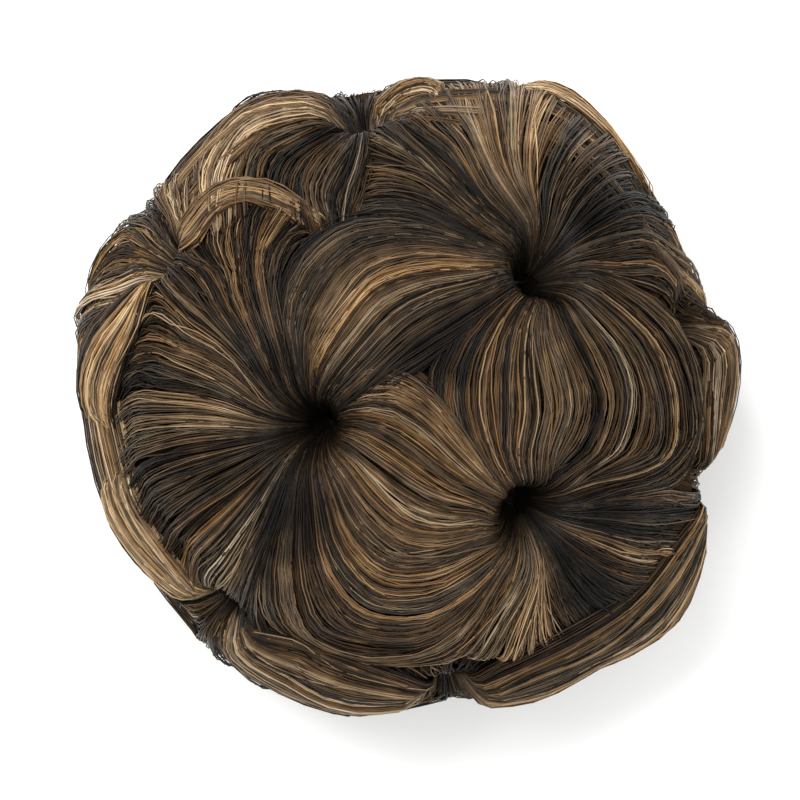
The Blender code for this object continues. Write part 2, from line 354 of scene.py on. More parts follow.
# Sheets of hair on the crown and round the rim. Guides are lines of strands as the camera has them, in
# millimetres from the middle of the picture. lift, and tuck at the start and at the end, are in
# millimetres, and over is how many degrees further the strands go than the guides. tones run across the
# guides from dark 0 to blond 1, as over does. even is how often the guides are smoothed
sheets = {
    "topRightToLeft": {
        "curl": "topRight", "count": 590, "lift": 1.2, "tuck": (0, 0),
        "tones": (0.26, 0.34, 0.58, 0.58, 0.42, 0.24, 0.15),
        "guides": (
            ((28, 26), (15.5, 36), (0, 40.5), (-14, 38.5), (-23.5, 32), (-27, 21.5), (-24, 8.5),
             (-17.5, -3.5)),
            ((28, 26), (17, 33.5), (2, 36.5), (-10, 33.5), (-18.5, 26.5), (-22.5, 17), (-21.5, 6.5),
             (-17, -3.5)),
            ((27.5, 26), (15.5, 31), (3.5, 32), (-7, 28), (-14.5, 20.5), (-19, 12.5), (-19.5, 3.5),
             (-17, -3.5)),
            ((27, 25.5), (15, 28), (4.5, 26.5), (-4.5, 22), (-11, 15), (-15.5, 8.5), (-18, 2), (-17, -4)),
            ((26.5, 25.5), (15.5, 24.5), (6.5, 22), (-1, 17), (-7.5, 10.5), (-12.5, 5), (-15.5, 0),
             (-16.5, -4)),
            ((26, 24.5), (17, 22), (9, 17.5), (2, 12.5), (-4.5, 7), (-10, 2), (-14, -1.5), (-16, -4.5)),
            ((25.5, 24), (18.5, 18.5), (11.5, 12.5), (5.5, 7), (-1, 2.5), (-8, -1), (-12.5, -3),
             (-15.5, -5)),
        ),
    },
    "topLeftToFront": {
        "curl": "topLeft", "count": 750, "lift": 0.9, "tuck": (0, 0),
        "tones": (0.40, 0.50, 0.50, 0.38, 0.52, 0.36, 0.50, 0.36, 0.48, 0.42),
        "guides": (
            ((-16, -4.5), (-12.5, 3.5), (-5, 9), (3.5, 7), (10.5, 0), (17, -10), (21.5, -18), (25, -21.5)),
            ((-16, -4.5), (-10.5, 0.5), (-3.5, 2.5), (4, -0.5), (10.5, -7), (17, -14.5), (22, -19.5),
             (25, -22)),
            ((-15.5, -5), (-9, -2.5), (-2, -3.5), (5, -8), (11, -13.5), (17.5, -18.5), (22.5, -21),
             (25, -22.5)),
            ((-15.5, -5.5), (-8.5, -7), (-2, -10.5), (4.5, -15), (11, -19.5), (17.5, -22), (22.5, -22.5),
             (25, -23)),
            ((-15.5, -6), (-10.5, -12.5), (-4.5, -19), (2.5, -24), (10, -26.5), (17, -26), (22, -24.5),
             (25, -23.5)),
            ((-16, -6.5), (-14, -17), (-8.5, -27.5), (0, -33), (9, -33.5), (16.5, -31), (22, -27),
             (25.5, -24)),
            ((-16.5, -6.5), (-17, -20), (-13, -33.5), (-3.5, -41.5), (7, -42), (16, -37), (22.5, -30),
             (25.5, -24.5)),
            ((-17, -6.5), (-19.5, -22.5), (-17.5, -38), (-8.5, -48), (3.5, -50.5), (14.5, -45), (22.5, -34),
             (25.5, -25)),
            ((-17.5, -6.5), (-23, -23.5), (-23.5, -40.5), (-15.5, -52.5), (-2, -56.5), (11, -52),
             (21.5, -38.5), (26, -25)),
            ((-18, -6.5), (-26, -22.5), (-31, -38), (-27, -51), (-15.5, -57), (-2, -59), (10.5, -56),
             (22.5, -41.5), (26, -25.5)),
        ),
    },
    "topRightToFront": {
        "curl": "topFront", "count": 770, "lift": 0.5, "tuck": (0, 0),
        "tones": (0.16, 0.28, 0.34, 0.38, 0.44, 0.40, 0.34, 0.40, 0.48, 0.40, 0.50),
        "guides": (
            ((26.5, 24.5), (17.5, 19), (10, 12.5), (6.5, 5), (7, -2.5), (12.5, -10.5), (19.5, -18),
             (25, -21.5)),
            ((27, 24.5), (19.5, 20), (14, 13.5), (10.5, 5.5), (10.5, -2), (14, -10), (20, -17.5),
             (25, -21.5)),
            ((27, 24), (22, 17.5), (18, 9.5), (16.5, 0.5), (18, -8), (21.5, -15.5), (25.5, -21)),
            ((27.5, 23.5), (24.5, 15.5), (23, 6.5), (22.5, -2), (23, -11), (25.5, -20)),
            ((28, 23.5), (28.5, 14.5), (29, 5.5), (29, -3.5), (28, -12.5), (26, -20)),
            ((28.5, 23.5), (32.5, 15.5), (35.5, 6.5), (36.5, -2.5), (34, -11.5), (27, -20)),
            ((29, 24), (37, 17.5), (42, 8.5), (44, -2), (41.5, -11), (33.5, -17), (27.5, -20.5)),
            ((29.5, 24.5), (41.5, 19), (49, 10.5), (52, 0), (49.5, -10), (40.5, -17), (28, -21)),
            ((30, 25), (45, 21.5), (55, 12.5), (59.5, 1), (58, -9), (49.5, -16), (38, -19), (28, -21.5)),
            ((30, 25.5), (47.5, 24), (58.5, 15), (64, 3.5), (64.5, -8), (58, -16), (45, -20), (28.5, -22)),
            ((30, 26), (49.5, 26.5), (61.5, 18.5), (66.5, 6.5), (67, -6.5), (64, -17), (50.5, -21.5),
             (29, -22.5)),
        ),
    },
    "topRightFan": {
        "curl": "topRight", "count": 780, "lift": 1, "tuck": (0, 3),
        "over": (2, 3, 3, 4, 5, 8, 18, 18, 18, 14, 14, 18, 18, 18, 14, 8, 4),
        "tones": (0.26, 0.28, 0.34, 0.30, 0.34, 0.46, 0.56, 0.64, 0.60, 0.40, 0.52, 0.08, 0.12, 0.46, 0.50,
                  0.46, 0.42),
        "guides": (
            ((27, 26.5), (16, 34.5), (2.5, 40.5), (-13, 39)),
            ((27, 26.5), (17, 36), (3.5, 42), (-12.5, 41.5)),
            ((27, 27), (17.5, 38), (4.5, 46.5), (-10.5, 48)),
            ((27.5, 27), (18, 40.5), (6.5, 51), (-7, 56)),
            ((27.5, 27.5), (19, 43), (9, 55.5), (-1, 62.5)),
            ((27.5, 27.5), (20, 45), (11.5, 59.5), (5.5, 66)),
            ((28, 28), (22, 47), (15.5, 62.5), (12.5, 69.5)),
            ((28, 28), (24, 49.5), (21.5, 65), (20, 71)),
            ((28, 28), (27, 48), (27, 64), (27.5, 69.5)),
            ((28.5, 28), (30, 45), (33.5, 58), (36, 61.5)),
            ((28.5, 27.5), (34.5, 41.5), (42.5, 53.5), (46.5, 56)),
            ((29, 27.5), (38, 38.5), (49.5, 48), (55, 47.5)),
            ((29, 27), (40.5, 36.5), (52, 41.5), (60, 39)),
            ((29.5, 27), (42.5, 34), (55, 36.5), (63.5, 31)),
            ((29.5, 26.5), (45, 31), (57, 31), (66, 22.5)),
            ((30, 26), (46, 28.5), (58, 28), (66, 21)),
            ((30, 26), (47.5, 27.5), (60, 23), (66.5, 12.5)),
        ),
    },
    "topLeftFan": {
        "curl": "topLeft", "count": 880, "lift": 1.1, "tuck": (0, 3),
        "over": (1, 2, 5, 7, 6, 5, 6, 8, 8, 8, 10, 10, 10, 8, 6, 5, 5, 5),
        "tones": (0.30, 0.28, 0.50, 0.18, 0.46, 0.12, 0.54, 0.46, 0.44, 0.26, 0.64, 0.16, 0.36, 0.28, 0.50,
                  0.36, 0.10, 0.36),
        "guides": (
            ((-17.5, -3.5), (-24.5, 8.5), (-27.5, 21.5), (-25.5, 31.5), (-18.5, 37.5)),
            ((-18, -3.5), (-25, 8.5), (-28.5, 22.5), (-27, 33), (-20.5, 40)),
            ((-18.5, -3.5), (-26, 9), (-29.5, 22.5), (-29, 33.5), (-24.5, 41.5)),
            ((-19, -3.5), (-28, 10.5), (-32, 23.5), (-32.5, 34.5), (-31, 43)),
            ((-19.5, -3.5), (-31, 11.5), (-36.5, 23.5), (-38.5, 32.5), (-40, 38.5)),
            ((-19.5, -4), (-33.5, 12.5), (-40, 22.5), (-43.5, 29), (-46, 33.5)),
            ((-19.5, -4), (-35.5, 11), (-43.5, 19), (-49.5, 24.5), (-52, 25)),
            ((-20, -4.5), (-37, 8.5), (-47, 14.5), (-53.5, 19), (-57, 17)),
            ((-20, -4.5), (-38.5, 5), (-49.5, 9.5), (-57, 11), (-60.5, 9.5)),
            ((-20, -5), (-39, 0.5), (-50.5, 2.5), (-58.5, 3), (-62, 0)),
            ((-20, -5.5), (-39, -4.5), (-51, -4.5), (-59, -6), (-62, -10)),
            ((-20, -6), (-38.5, -9.5), (-49.5, -11.5), (-57.5, -15), (-60.5, -20)),
            ((-19.5, -6.5), (-37, -14), (-47, -18.5), (-54, -24), (-57, -29)),
            ((-19.5, -7), (-34.5, -18.5), (-43.5, -25.5), (-49.5, -33), (-52, -36.5)),
            ((-19, -7), (-32, -22.5), (-39, -32.5), (-44, -40.5), (-45, -45)),
            ((-18.5, -7), (-28.5, -25), (-35, -38), (-38.5, -47), (-40, -49)),
            ((-18, -7), (-26, -25.5), (-32, -39), (-33.5, -49.5), (-31, -56)),
            ((-18, -7), (-25.5, -24), (-31, -38.5), (-29.5, -49.5), (-22.5, -56.5)),
        ),
    },
    "topFrontFan": {
        "curl": "topFront", "count": 690, "lift": 0.8, "tuck": (0, 4),
        "over": (4, 6, 8, 8, 8, 6, 5, 3, 2, 2, 2),
        "tones": (0.34, 0.28, 0.16, 0.52, 0.42, 0.10, 0.18, 0.50, 0.72, 0.50, 0.30),
        "guides": (
            ((28.5, -22.5), (42, -22), (55, -21), (65.5, -19.5)),
            ((28.5, -23), (41.5, -24), (55, -24), (66, -22.5)),
            ((28.5, -23.5), (41, -27), (53.5, -29.5), (65, -29)),
            ((28, -23.5), (40, -29), (52, -33.5), (62.5, -34)),
            ((28, -24), (38, -32.5), (49.5, -39), (60, -40)),
            ((28, -24.5), (36, -34.5), (45, -44), (55.5, -46)),
            ((27.5, -24.5), (33.5, -36), (40.5, -47), (49.5, -52)),
            ((27, -25), (31.5, -36), (34.5, -47), (40.5, -53.5)),
            ((26.5, -25), (30, -36), (28.5, -47.5), (24, -57.5)),
            ((26, -25.5), (28, -36.5), (23, -47), (15.5, -56.5)),
            ((25.5, -25.5), (24.5, -37), (18, -47.5), (8.5, -56.5)),
        ),
    },
    "backBump": {
        "curl": "back", "count": 130, "lift": 1.2, "tuck": (0, 4), "even": 1,
        "over": (2,),
        "tones": (0.56, 0.72, 0.62),
        "guides": (
            ((-7, 60.5), (-5, 66), (-1, 70.5), (4, 73), (8.5, 71), (11, 67)),
            ((-7, 60), (-3.5, 64.5), (0.5, 68.5), (4.5, 70.5), (8, 68.5), (10, 66)),
            ((-6.5, 60), (-2, 63), (1.5, 66.5), (5, 68), (7.5, 66.5), (8.5, 65)),
        ),
    },
    "backRim": {
        "curl": "back", "count": 170, "lift": 1.6, "tuck": (5, 5), "even": 2,
        "over": (8,),
        "tones": (0.70, 0.88, 0.66),
        "guides": (
            ((22, 72), (29, 71.5), (36.5, 69.5), (43.5, 64.5), (49.5, 58), (53.5, 50.5), (57.5, 44.5)),
            ((23, 70), (31, 69), (37.5, 66.5), (44, 61.5), (49.5, 55), (53.5, 48.5)),
            ((23.5, 68.5), (31.5, 68), (38.5, 65), (45, 60), (50, 54), (54, 47)),
        ),
    },
    "backLobe": {
        "curl": "back", "count": 370, "lift": 1, "tuck": (0, 4),
        "over": (16, 16, 14, 8, 6, 6, 6, 6),
        "tones": (0.66, 0.80, 0.56, 0.34, 0.24, 0.46, 0.30, 0.30),
        "guides": (
            ((-8.5, 61), (-15.5, 66.5), (-28.5, 69.5), (-39, 65.5), (-44, 56), (-45, 49)),
            ((-9, 60.5), (-18, 64.5), (-29, 65.5), (-37.5, 60.5), (-42, 52.5), (-43.5, 46.5)),
            ((-9.5, 60.5), (-19, 62), (-28, 61), (-34.5, 56), (-38.5, 48)),
            ((-9.5, 60), (-18.5, 60), (-25.5, 57), (-31, 51.5), (-32, 45)),
            ((-9.5, 59.5), (-15.5, 57), (-21.5, 52.5), (-24, 47), (-23.5, 42)),
            ((-9, 59), (-12.5, 56), (-17, 50.5), (-18.5, 45), (-17, 40.5)),
            ((-8.5, 59), (-9.5, 53.5), (-11, 48), (-13, 43.5), (-13.5, 39.5)),
            ((-7.5, 59), (-6.5, 53.5), (-7.5, 47.5), (-9.5, 42.5), (-11, 39)),
        ),
    },
    "backLeftFan": {
        "curl": "backLeft", "count": 310, "lift": 0.6, "tuck": (0, 3),
        "over": (4, 16, 22, 24),
        "tones": (0.46, 0.60, 0.30, 0.76, 0.28, 0.76, 0.56),
        "guides": (
            ((-48.5, 30), (-46, 37), (-45, 45), (-43.5, 51)),
            ((-49, 30), (-48, 38), (-49.5, 45), (-50.5, 49)),
            ((-49.5, 30), (-52, 37.5), (-55.5, 42), (-58, 44)),
            ((-49.5, 29.5), (-55, 34.5), (-60.5, 37.5), (-65, 37)),
            ((-50, 28.5), (-56.5, 31.5), (-63, 32.5), (-68.5, 31)),
            ((-50, 28), (-57, 27.5), (-64, 25.5), (-70, 23.5)),
            ((-50, 27.5), (-56.5, 23.5), (-63, 20), (-70, 17)),
        ),
    },
    "backLeftSide": {
        "curl": "backLeft", "count": 220, "lift": 1.4, "tuck": (0, 4), "even": 2,
        "tones": (0.48, 0.66, 0.84, 0.34),
        "guides": (
            ((-49.5, 27.5), (-56, 24.5), (-63, 21.5), (-70, 17), (-73, 9.5), (-74, 2), (-71, -5.5),
             (-67.5, -10.5)),
            ((-49.5, 27), (-55.5, 23), (-61, 18.5), (-66.5, 12.5), (-69.5, 4.5), (-68.5, -3.5),
             (-65, -10.5)),
            ((-49.5, 27), (-54, 21), (-58.5, 16), (-62.5, 10.5), (-65.5, 3.5), (-65.5, -4.5), (-62.5, -11)),
            ((-49.5, 26.5), (-53, 19.5), (-56.5, 15), (-60, 9.5), (-62.5, 3.5), (-63, -4.5), (-61.5, -11)),
        ),
    },
    "backLeftArch": {
        "curl": "backLeft", "count": 130, "lift": 1.3, "tuck": (0, 5),
        "over": (5,),
        "tones": (0.50, 0.70, 0.60, 0.45),
        "guides": (
            ((-49, 30.5), (-47.5, 38.5), (-42.5, 46), (-35.5, 49), (-28.5, 47), (-21.5, 43.5),
             (-16.5, 40.5)),
            ((-48.5, 30), (-47, 37.5), (-42, 44.5), (-35.5, 47), (-29, 45.5), (-22.5, 42.5), (-18, 39.5)),
            ((-48.5, 29.5), (-46, 36.5), (-41, 43), (-35, 45.5), (-29, 44), (-24, 41.5), (-20, 38.5)),
            ((-48, 29), (-45, 35), (-40, 41.5), (-34.5, 44), (-29.5, 42.5), (-25.5, 40.5), (-22.5, 38)),
        ),
    },
    "frontLeftRim": {
        "curl": "frontLeft", "count": 210, "lift": 1.4, "tuck": (4, 0), "even": 2,
        "tones": (0.50, 0.74, 0.70, 0.50),
        "guides": (
            ((-68.5, -11), (-67, -20), (-62.5, -30), (-56, -38), (-47, -43), (-40.5, -47)),
            ((-65.5, -11), (-64.5, -19.5), (-60.5, -27.5), (-55, -33.5), (-47, -39.5), (-40, -45.5)),
            ((-62.5, -10.5), (-62, -19.5), (-58.5, -25.5), (-53.5, -31.5), (-46.5, -37.5), (-40, -44.5)),
            ((-61, -9), (-60.5, -18), (-57, -24), (-52.5, -30), (-45.5, -36.5), (-39.5, -44)),
        ),
    },
    "frontLeftFan": {
        "curl": "frontLeft", "count": 120, "lift": 0.6, "tuck": (0, 3),
        "over": (16,),
        "tones": (0.55, 0.10, 0.60, 0.12, 0.62, 0.15, 0.50),
        "guides": (
            ((-40.5, -45.5), (-46.5, -42.5), (-53.5, -39)),
            ((-40.5, -46), (-47, -44.5), (-54, -42.5)),
            ((-40.5, -46.5), (-47, -46), (-53.5, -45.5)),
            ((-40.5, -47), (-46, -48.5), (-52.5, -49.5)),
            ((-40, -47.5), (-45, -51), (-49.5, -53.5)),
            ((-39.5, -48), (-43, -53.5), (-46.5, -57.5)),
            ((-39, -48.5), (-40.5, -55.5), (-42.5, -61)),
        ),
    },
    "frontLeftToFront": {
        "curl": "frontLeft", "count": 340, "lift": 1.3, "tuck": (0, 0), "even": 2,
        "tones": (0.58, 0.80, 0.62, 0.46, 0.24, 0.34),
        "guides": (
            ((-39.5, -49), (-38.5, -58), (-31, -66), (-20, -70.5), (-10, -72.5), (0, -70.5), (8.5, -65.5)),
            ((-38.5, -48.5), (-34.5, -58), (-25.5, -65), (-14.5, -68.5), (-3.5, -68.5), (8.5, -64.5)),
            ((-38, -48), (-32, -56.5), (-22.5, -63), (-11, -66), (-0.5, -66), (8.5, -64)),
            ((-37, -47.5), (-29.5, -55), (-19.5, -60.5), (-9, -62.5), (1, -63.5), (8.5, -63.5)),
            ((-36.5, -47), (-27, -53), (-17, -57.5), (-6.5, -60), (2.5, -61.5), (9, -62.5)),
            ((-36, -46.5), (-30, -48), (-22.5, -52), (-13, -55.5), (-3, -58), (5.5, -59.5), (9.5, -62)),
        ),
    },
    "frontFan": {
        "curl": "front", "count": 90, "lift": 0.6, "tuck": (0, 4),
        "over": (14,),
        "tones": (0.50, 0.10, 0.14, 0.45),
        "guides": (
            ((9.5, -64.5), (6.5, -67.5), (4, -70)),
            ((10, -65), (9, -68), (7.5, -71)),
            ((11, -65), (11, -68.5), (11, -71)),
            ((11.5, -64.5), (13.5, -67), (15.5, -69)),
        ),
    },
    "frontToRight": {
        "curl": "front", "count": 390, "lift": 1.9, "tuck": (0, 0), "even": 3,
        "tones": (0.60, 0.78, 0.60, 0.44, 0.36, 0.26),
        "guides": (
            ((12.5, -64.5), (18, -68), (27, -69), (36, -66.5), (46, -63), (55, -58.5), (62.5, -51.5),
             (67.5, -43), (69, -32.5), (68.5, -24), (67, -20)),
            ((12.5, -64), (20, -66), (29, -66.5), (38, -64), (47.5, -60), (56, -54.5), (62.5, -47),
             (66.5, -37.5), (67.5, -28), (66.5, -20.5)),
            ((13, -63), (22.5, -64), (31.5, -63.5), (40.5, -60.5), (49, -56), (56.5, -49.5), (62, -41.5),
             (64.5, -33), (65.5, -26.5), (66.5, -20.5)),
            ((13, -62.5), (23.5, -62), (33, -61), (42, -57.5), (50, -52.5), (57, -45.5), (61.5, -38.5),
             (63.5, -31.5), (64.5, -25), (66, -20)),
            ((13, -61), (24, -58), (34, -56.5), (43, -52.5), (50.5, -46.5), (57, -40), (60, -34),
             (62, -28.5), (63.5, -23.5), (65.5, -19.5)),
            ((13.5, -59), (23.5, -54.5), (32.5, -51), (42, -46.5), (50, -42), (57, -36), (60.5, -29.5),
             (63, -24), (65, -19.5)),
        ),
    },
    "rightSide": {
        "curl": "frontRight", "count": 250, "lift": 1.2, "tuck": (0, 0), "even": 3,
        "tones": (0.58, 0.64, 0.50, 0.44, 0.30),
        "guides": (
            ((66.5, -19), (69, -14), (73, -6.5), (76.5, 1), (76.5, 10), (72, 18.5), (65, 23.5)),
            ((66.5, -18.5), (68, -13.5), (71, -6.5), (73.5, 1), (73.5, 9.5), (70, 17), (64.5, 22)),
            ((66.5, -18.5), (66.5, -13), (69, -6.5), (71, 1), (71, 8.5), (68.5, 15), (64.5, 20.5)),
            ((66, -18), (66, -13), (67.5, -6.5), (68.5, 1), (68.5, 8), (66.5, 14), (64.5, 19.5)),
            ((66, -18), (65.5, -12.5), (66.5, -6.5), (67, 0.5), (67, 7), (65.5, 13), (64, 18.5)),
        ),
    },
}

# Swags round the side, from one hole to the next. swing is the angle at which the strands leave, from the
# straight way, upward positive
swags = [
    {"start": "back", "end": "backLeft", "swing": (-84, -8), "tones": (0.45, 0.5, 0.5, 0.45)},
    {"start": "backLeft", "end": "frontLeft", "swing": (-84, -18), "tones": (0.4, 0.5, 0.5, 0.5)},
    {"start": "frontLeft", "end": "front", "swing": (-84, 5), "tones": (0.4, 0.5, 0.5, 0.5)},
    {"start": "front", "end": "frontRight", "swing": (-84, 5), "tones": (0.4, 0.5, 0.5, 0.45)},
    {"start": "frontRight", "end": "right", "swing": (-84, 10), "tones": (0.4, 0.45, 0.5, 0.42)},
    {"start": "right", "end": "back", "swing": (-84, 8), "tones": (0.4, 0.5, 0.5, 0.5)},
]

# Fans round the side holes, by degrees from straight down. from is the share of the way at which they start
fans = (
    {"spread": (-75, 75), "count": 240, "from": 0, "stations": 8, "tuck": (0, 2),
     "tones": (0.45, 0.3, 0.5, 0.3, 0.5, 0.35, 0.45)},
    {"spread": (-80, 80), "count": 270, "from": 0.42, "stations": 6, "tuck": (1.4, 2),
     "tones": (0.3, 0.42, 0.28, 0.4, 0.3)},
    {"spread": (125, 235), "count": 60, "from": 0, "stations": 8, "tuck": (0, 2),
     "tones": (0.12, 0.25, 0.12)},
)
opened = ("back", "backLeft", "frontRight", "right")    # holes without the fan above them

# Places made darker or lighter, the darker ones with painted shade: middle and radius in the picture, in
# millimetres, and the change of tone
shadeAndTonePatches = (
    (50.5, 42.5, 9.0, -0.30), (12.5, 10.0, 7.0, -0.25), (-28.5, 8.5, 8.0, -0.20), (-24.5, -25.0, 9.0, -0.45),
    (47.0, -26.5, 9.0, -0.22), (41.5, -43.0, 6.0, -0.22), (8.0, 45.0, 12.0, -0.10), (33.0, 47.0, 9.0, -0.12),
    (-9.0, 21.0, 8.0, 0.08), (-43.0, -2.5, 8.0, 0.10), (30.0, 65.0, 7.0, 0.12), (26.5, -34.0, 5.0, 0.10),
    (-11.5, 64.0, 5.5, -0.40),
)


def turned(ahead, axis, angle):
    # ahead turned left about axis, by degrees
    angle = np.radians(angle)[:, None]
    return ahead * np.cos(angle) + np.cross(axis, ahead) * np.sin(angle)


def towards(here, there):
    return unitWays(there - here * np.sum(here * there, -1, keepdims=True))


def stepped(axis, ahead, angle):
    # the bearing that lies angle radians ahead of axis
    angle = np.asarray(angle)[..., None]
    return axis * np.cos(angle) + ahead * np.sin(angle)


def lockShares(count, random):
    # each strand's place across its sheet, 0 to 1, and its lock
    locks = max(1, round(count / hair["perLock"]))
    lock = np.arange(count) * locks // count
    centre = (np.arange(locks) + 0.5 + random.uniform(-0.3, 0.3, locks)) / locks
    share = centre[lock] + random.uniform(-0.5, 0.5, count) * hair["lockRoom"] / locks
    return np.clip(share, 0, 1), lock, locks


def strandTones(tones, share, lock, locks, random):
    tone = np.interp(share, np.linspace(0, 1, len(tones)), tones)
    tone = tone + np.clip(random.normal(0, hair["lockTone"], locks), *hair["lockToneRange"])[lock]
    tone = tone + random.normal(0, hair["strandTone"], len(share))
    pick = random.uniform(0, 1, len(share))
    tone = tone + hair["lightStep"] * (pick < hair["lightShare"])
    tone = tone - hair["darkStep"] * (pick > 1 - hair["darkShare"])
    warmth = np.clip(0.5 + random.normal(0, hair["lockWarmth"], locks), 0, 1)[lock]
    return tone, warmth


def stationShares(stations, count, random):
    # shares along each strand, closer together towards its ends and never level with its neighbours'
    even = np.linspace(0, 1, stations)
    bias = hair["stationBias"]
    shares = (1 - bias) * even + bias * (0.5 - 0.5 * np.cos(np.pi * even))
    return shares + random.uniform(-0.5, 0.5, (count, 1)) * np.sin(np.pi * shares) / stations


def splineWays(knots, shares):
    # a smooth line of bearings through the knots, by the length between them
    gaps = np.linalg.norm(np.diff(knots, axis=0), axis=1)
    along = np.concatenate([[0], np.cumsum(gaps)])
    along /= along[-1]
    slopes = np.gradient(knots, along, axis=0)
    piece = np.clip(np.searchsorted(along, shares, side="right") - 1, 0, len(knots) - 2)
    room = (along[piece + 1] - along[piece])[:, None]
    t = (shares - along[piece])[:, None] / room
    start, end = knots[piece], knots[piece + 1]
    line = ((2 * t ** 3 - 3 * t ** 2 + 1) * start + (t ** 3 - 2 * t ** 2 + t) * room * slopes[piece]
            + (3 * t ** 2 - 2 * t ** 3) * end + (t ** 3 - t ** 2) * room * slopes[piece + 1])
    return unitWays(line)


def isFlyaway(count):
    return np.arange(count) % round(1 / hair["flyaways"]) == hair["flyawayFirst"]


def strayed(ways, shares, random):
    # a slow sideways wander, none at the ends
    count = len(ways)
    side = np.cross(ways[:, 1:] - ways[:, :-1], ways[:, 1:])
    side = np.concatenate([side[:, :1], side], 1)
    side /= np.maximum(np.linalg.norm(side, axis=-1, keepdims=True), 1e-9)
    phase = random.uniform(0, 2 * np.pi, (count, 1))
    rate = random.uniform(0.7, 1.9, (count, 1))
    loose = 1 + (hair["flyawayWander"] - 1) * isFlyaway(count)[:, None]
    size = random.normal(0, hair["wander"], (count, 1)) * loose
    wave = np.sin(2 * np.pi * rate * shares + phase) * np.sin(np.pi * shares) ** 0.7 * size
    return unitWays(ways + side * wave[..., None])


def nearEnds(shares, room):
    # 1 at the start and at the end of a strand, falling to 0 over this share of its length
    return np.clip(1 - shares / room, 0, 1), np.clip(1 - (1 - shares) / room, 0, 1)


def laidOn(ways, lift, tuck, shares, lock, locks, random):
    # points of strands laid on the surface, across its creases
    count = len(ways)
    reach = reachAt(ways)
    for _ in range(hair["creaseRounds"]):
        even = reach.copy()
        even[:, 1:-1] = (reach[:, :-2] + 2 * reach[:, 1:-1] + reach[:, 2:]) / 4
        reach = 0.5 * np.maximum(reach, even) + 0.5 * even
    rise = lift + random.normal(0, hair["lockRise"], locks)[lock] + hair["flyawayRise"] * isFlyaway(count)
    rise = rise + random.uniform(-1, 1, count) * hair["strandRise"]
    ends = (np.minimum(1, shares / hair["endShare"]) * np.minimum(1, (1 - shares) / hair["endShare"])) ** 0.7
    start, end = nearEnds(shares, hair["tuckShare"])
    dip = tuck[0] * start ** 1.6 + tuck[1] * end ** 1.6
    reach = reach + rise[:, None] * ends - dip - funnels(ways)
    points = middle + ways * reach[..., None]
    points[..., 2] = np.maximum(points[..., 2], surface["foot"])
    return points


def rootedWays(places):
    # bearings of a guide, whose end at a side hole is led down into it
    ways = seenWays(places)
    for name, hole in holes.items():
        for end, beside in ((0, 1), (-1, -2)):
            if name not in crownHoles and math.dist(places[end], hole["seen"]) < hair["rooted"]:
                ways[end] = stepped(hole["way"], towards(hole["way"], ways[beside]), hair["rootStep"])
    return ways


def guideLine(knots):
    # the guide's bearings, closer together where it bends on the surface, and its length
    even = np.linspace(0, 1, 81)
    line = splineWays(knots, even)
    steps = np.diff(line * (reachAt(line) - funnels(line))[:, None], axis=0)
    lengths = np.linalg.norm(steps, axis=1)
    steps /= lengths[:, None]
    bends = np.arccos(np.clip(np.sum(steps[1:] * steps[:-1], 1), -1, 1))
    bends = np.pad(bends, (1, 0), mode="edge") + np.pad(bends, (0, 1), mode="edge")
    effort = np.pad(np.cumsum(lengths / lengths.sum() + hair["bendWeight"] * bends / bends.sum()), (1, 0))
    return splineWays(knots, np.interp(even, effort / effort[-1], even)), lengths.sum()


def carriedOn(line, angle):
    # the line with one more knot, degrees further on
    ahead = unitWays(line[-1] - line[-2] * (line[-1] @ line[-2]))
    return np.vstack([line, stepped(line[-1], ahead, np.radians(angle))])


def makeSheet(sheet, random):
    guides = [rootedWays(guide) for guide in sheet["guides"]]
    over = sheet.get("over", (0,))
    over = np.interp(np.linspace(0, 1, len(guides)), np.linspace(0, 1, len(over)), over)
    for _ in range(sheet.get("even", 0)):
        guides = [unitWays(np.vstack([line[:1], line[:-2] + 2 * line[1:-1] + line[2:], line[-1:]]))
                  for line in guides]
    guides = [carriedOn(guide, more) if more else guide for guide, more in zip(guides, over)]
    lines, lengths = zip(*(guideLine(guide) for guide in guides))
    lines = np.array(lines)
    stations = int(np.clip(round(np.mean(lengths) / hair["stationGap"]) + 3, *hair["stations"]))
    shares = stationShares(stations, sheet["count"], random)
    share, lock, locks = lockShares(sheet["count"], random)
    across = share * (len(guides) - 1)
    left = np.minimum(across.astype(int), len(guides) - 2)
    blend = (across - left)[:, None, None]
    whole = lines[left] * (1 - blend) + lines[left + 1] * blend
    tuck = [depth / 1000 for depth in sheet["tuck"]]
    cut = [random.uniform(0, hair["ragged" if depth else "rootRagged"], sheet["count"])[:, None]
           for depth in tuck]
    place = (cut[0] + shares * (1 - cut[0] - cut[1])) * (lines.shape[1] - 1)
    low = np.minimum(place.astype(int), lines.shape[1] - 2)
    part = (place - low)[..., None]
    row = np.arange(sheet["count"])[:, None]
    ways = strayed(unitWays(whole[row, low] * (1 - part) + whole[row, low + 1] * part), shares, random)
    inward = np.minimum(1, np.minimum(share, 1 - share) / hair["edge"])
    lift = sheet["lift"] / 1000 * (hair["edgeLift"] + (1 - hair["edgeLift"]) * inward)
    points = laidOn(ways, lift, tuck, shares, lock, locks, random)
    return points, *strandTones(sheet["tones"], share, lock, locks, random), tipShade(shares, tuck)


def tipShade(shares, tuck):
    # painted shade where strands go in under others
    start, end = nearEnds(shares, hair["tipShare"])
    return hair["tipShade"] * np.maximum(start * (tuck[0] > 0), end * (tuck[1] > 0))


def bentWays(start, startPull, endPull, end, shares):
    s = shares[..., None]
    return unitWays((1 - s) ** 3 * start[:, None] + 3 * (1 - s) ** 2 * s * startPull[:, None]
                    + 3 * (1 - s) * s ** 2 * endPull[:, None] + s ** 3 * end[:, None])


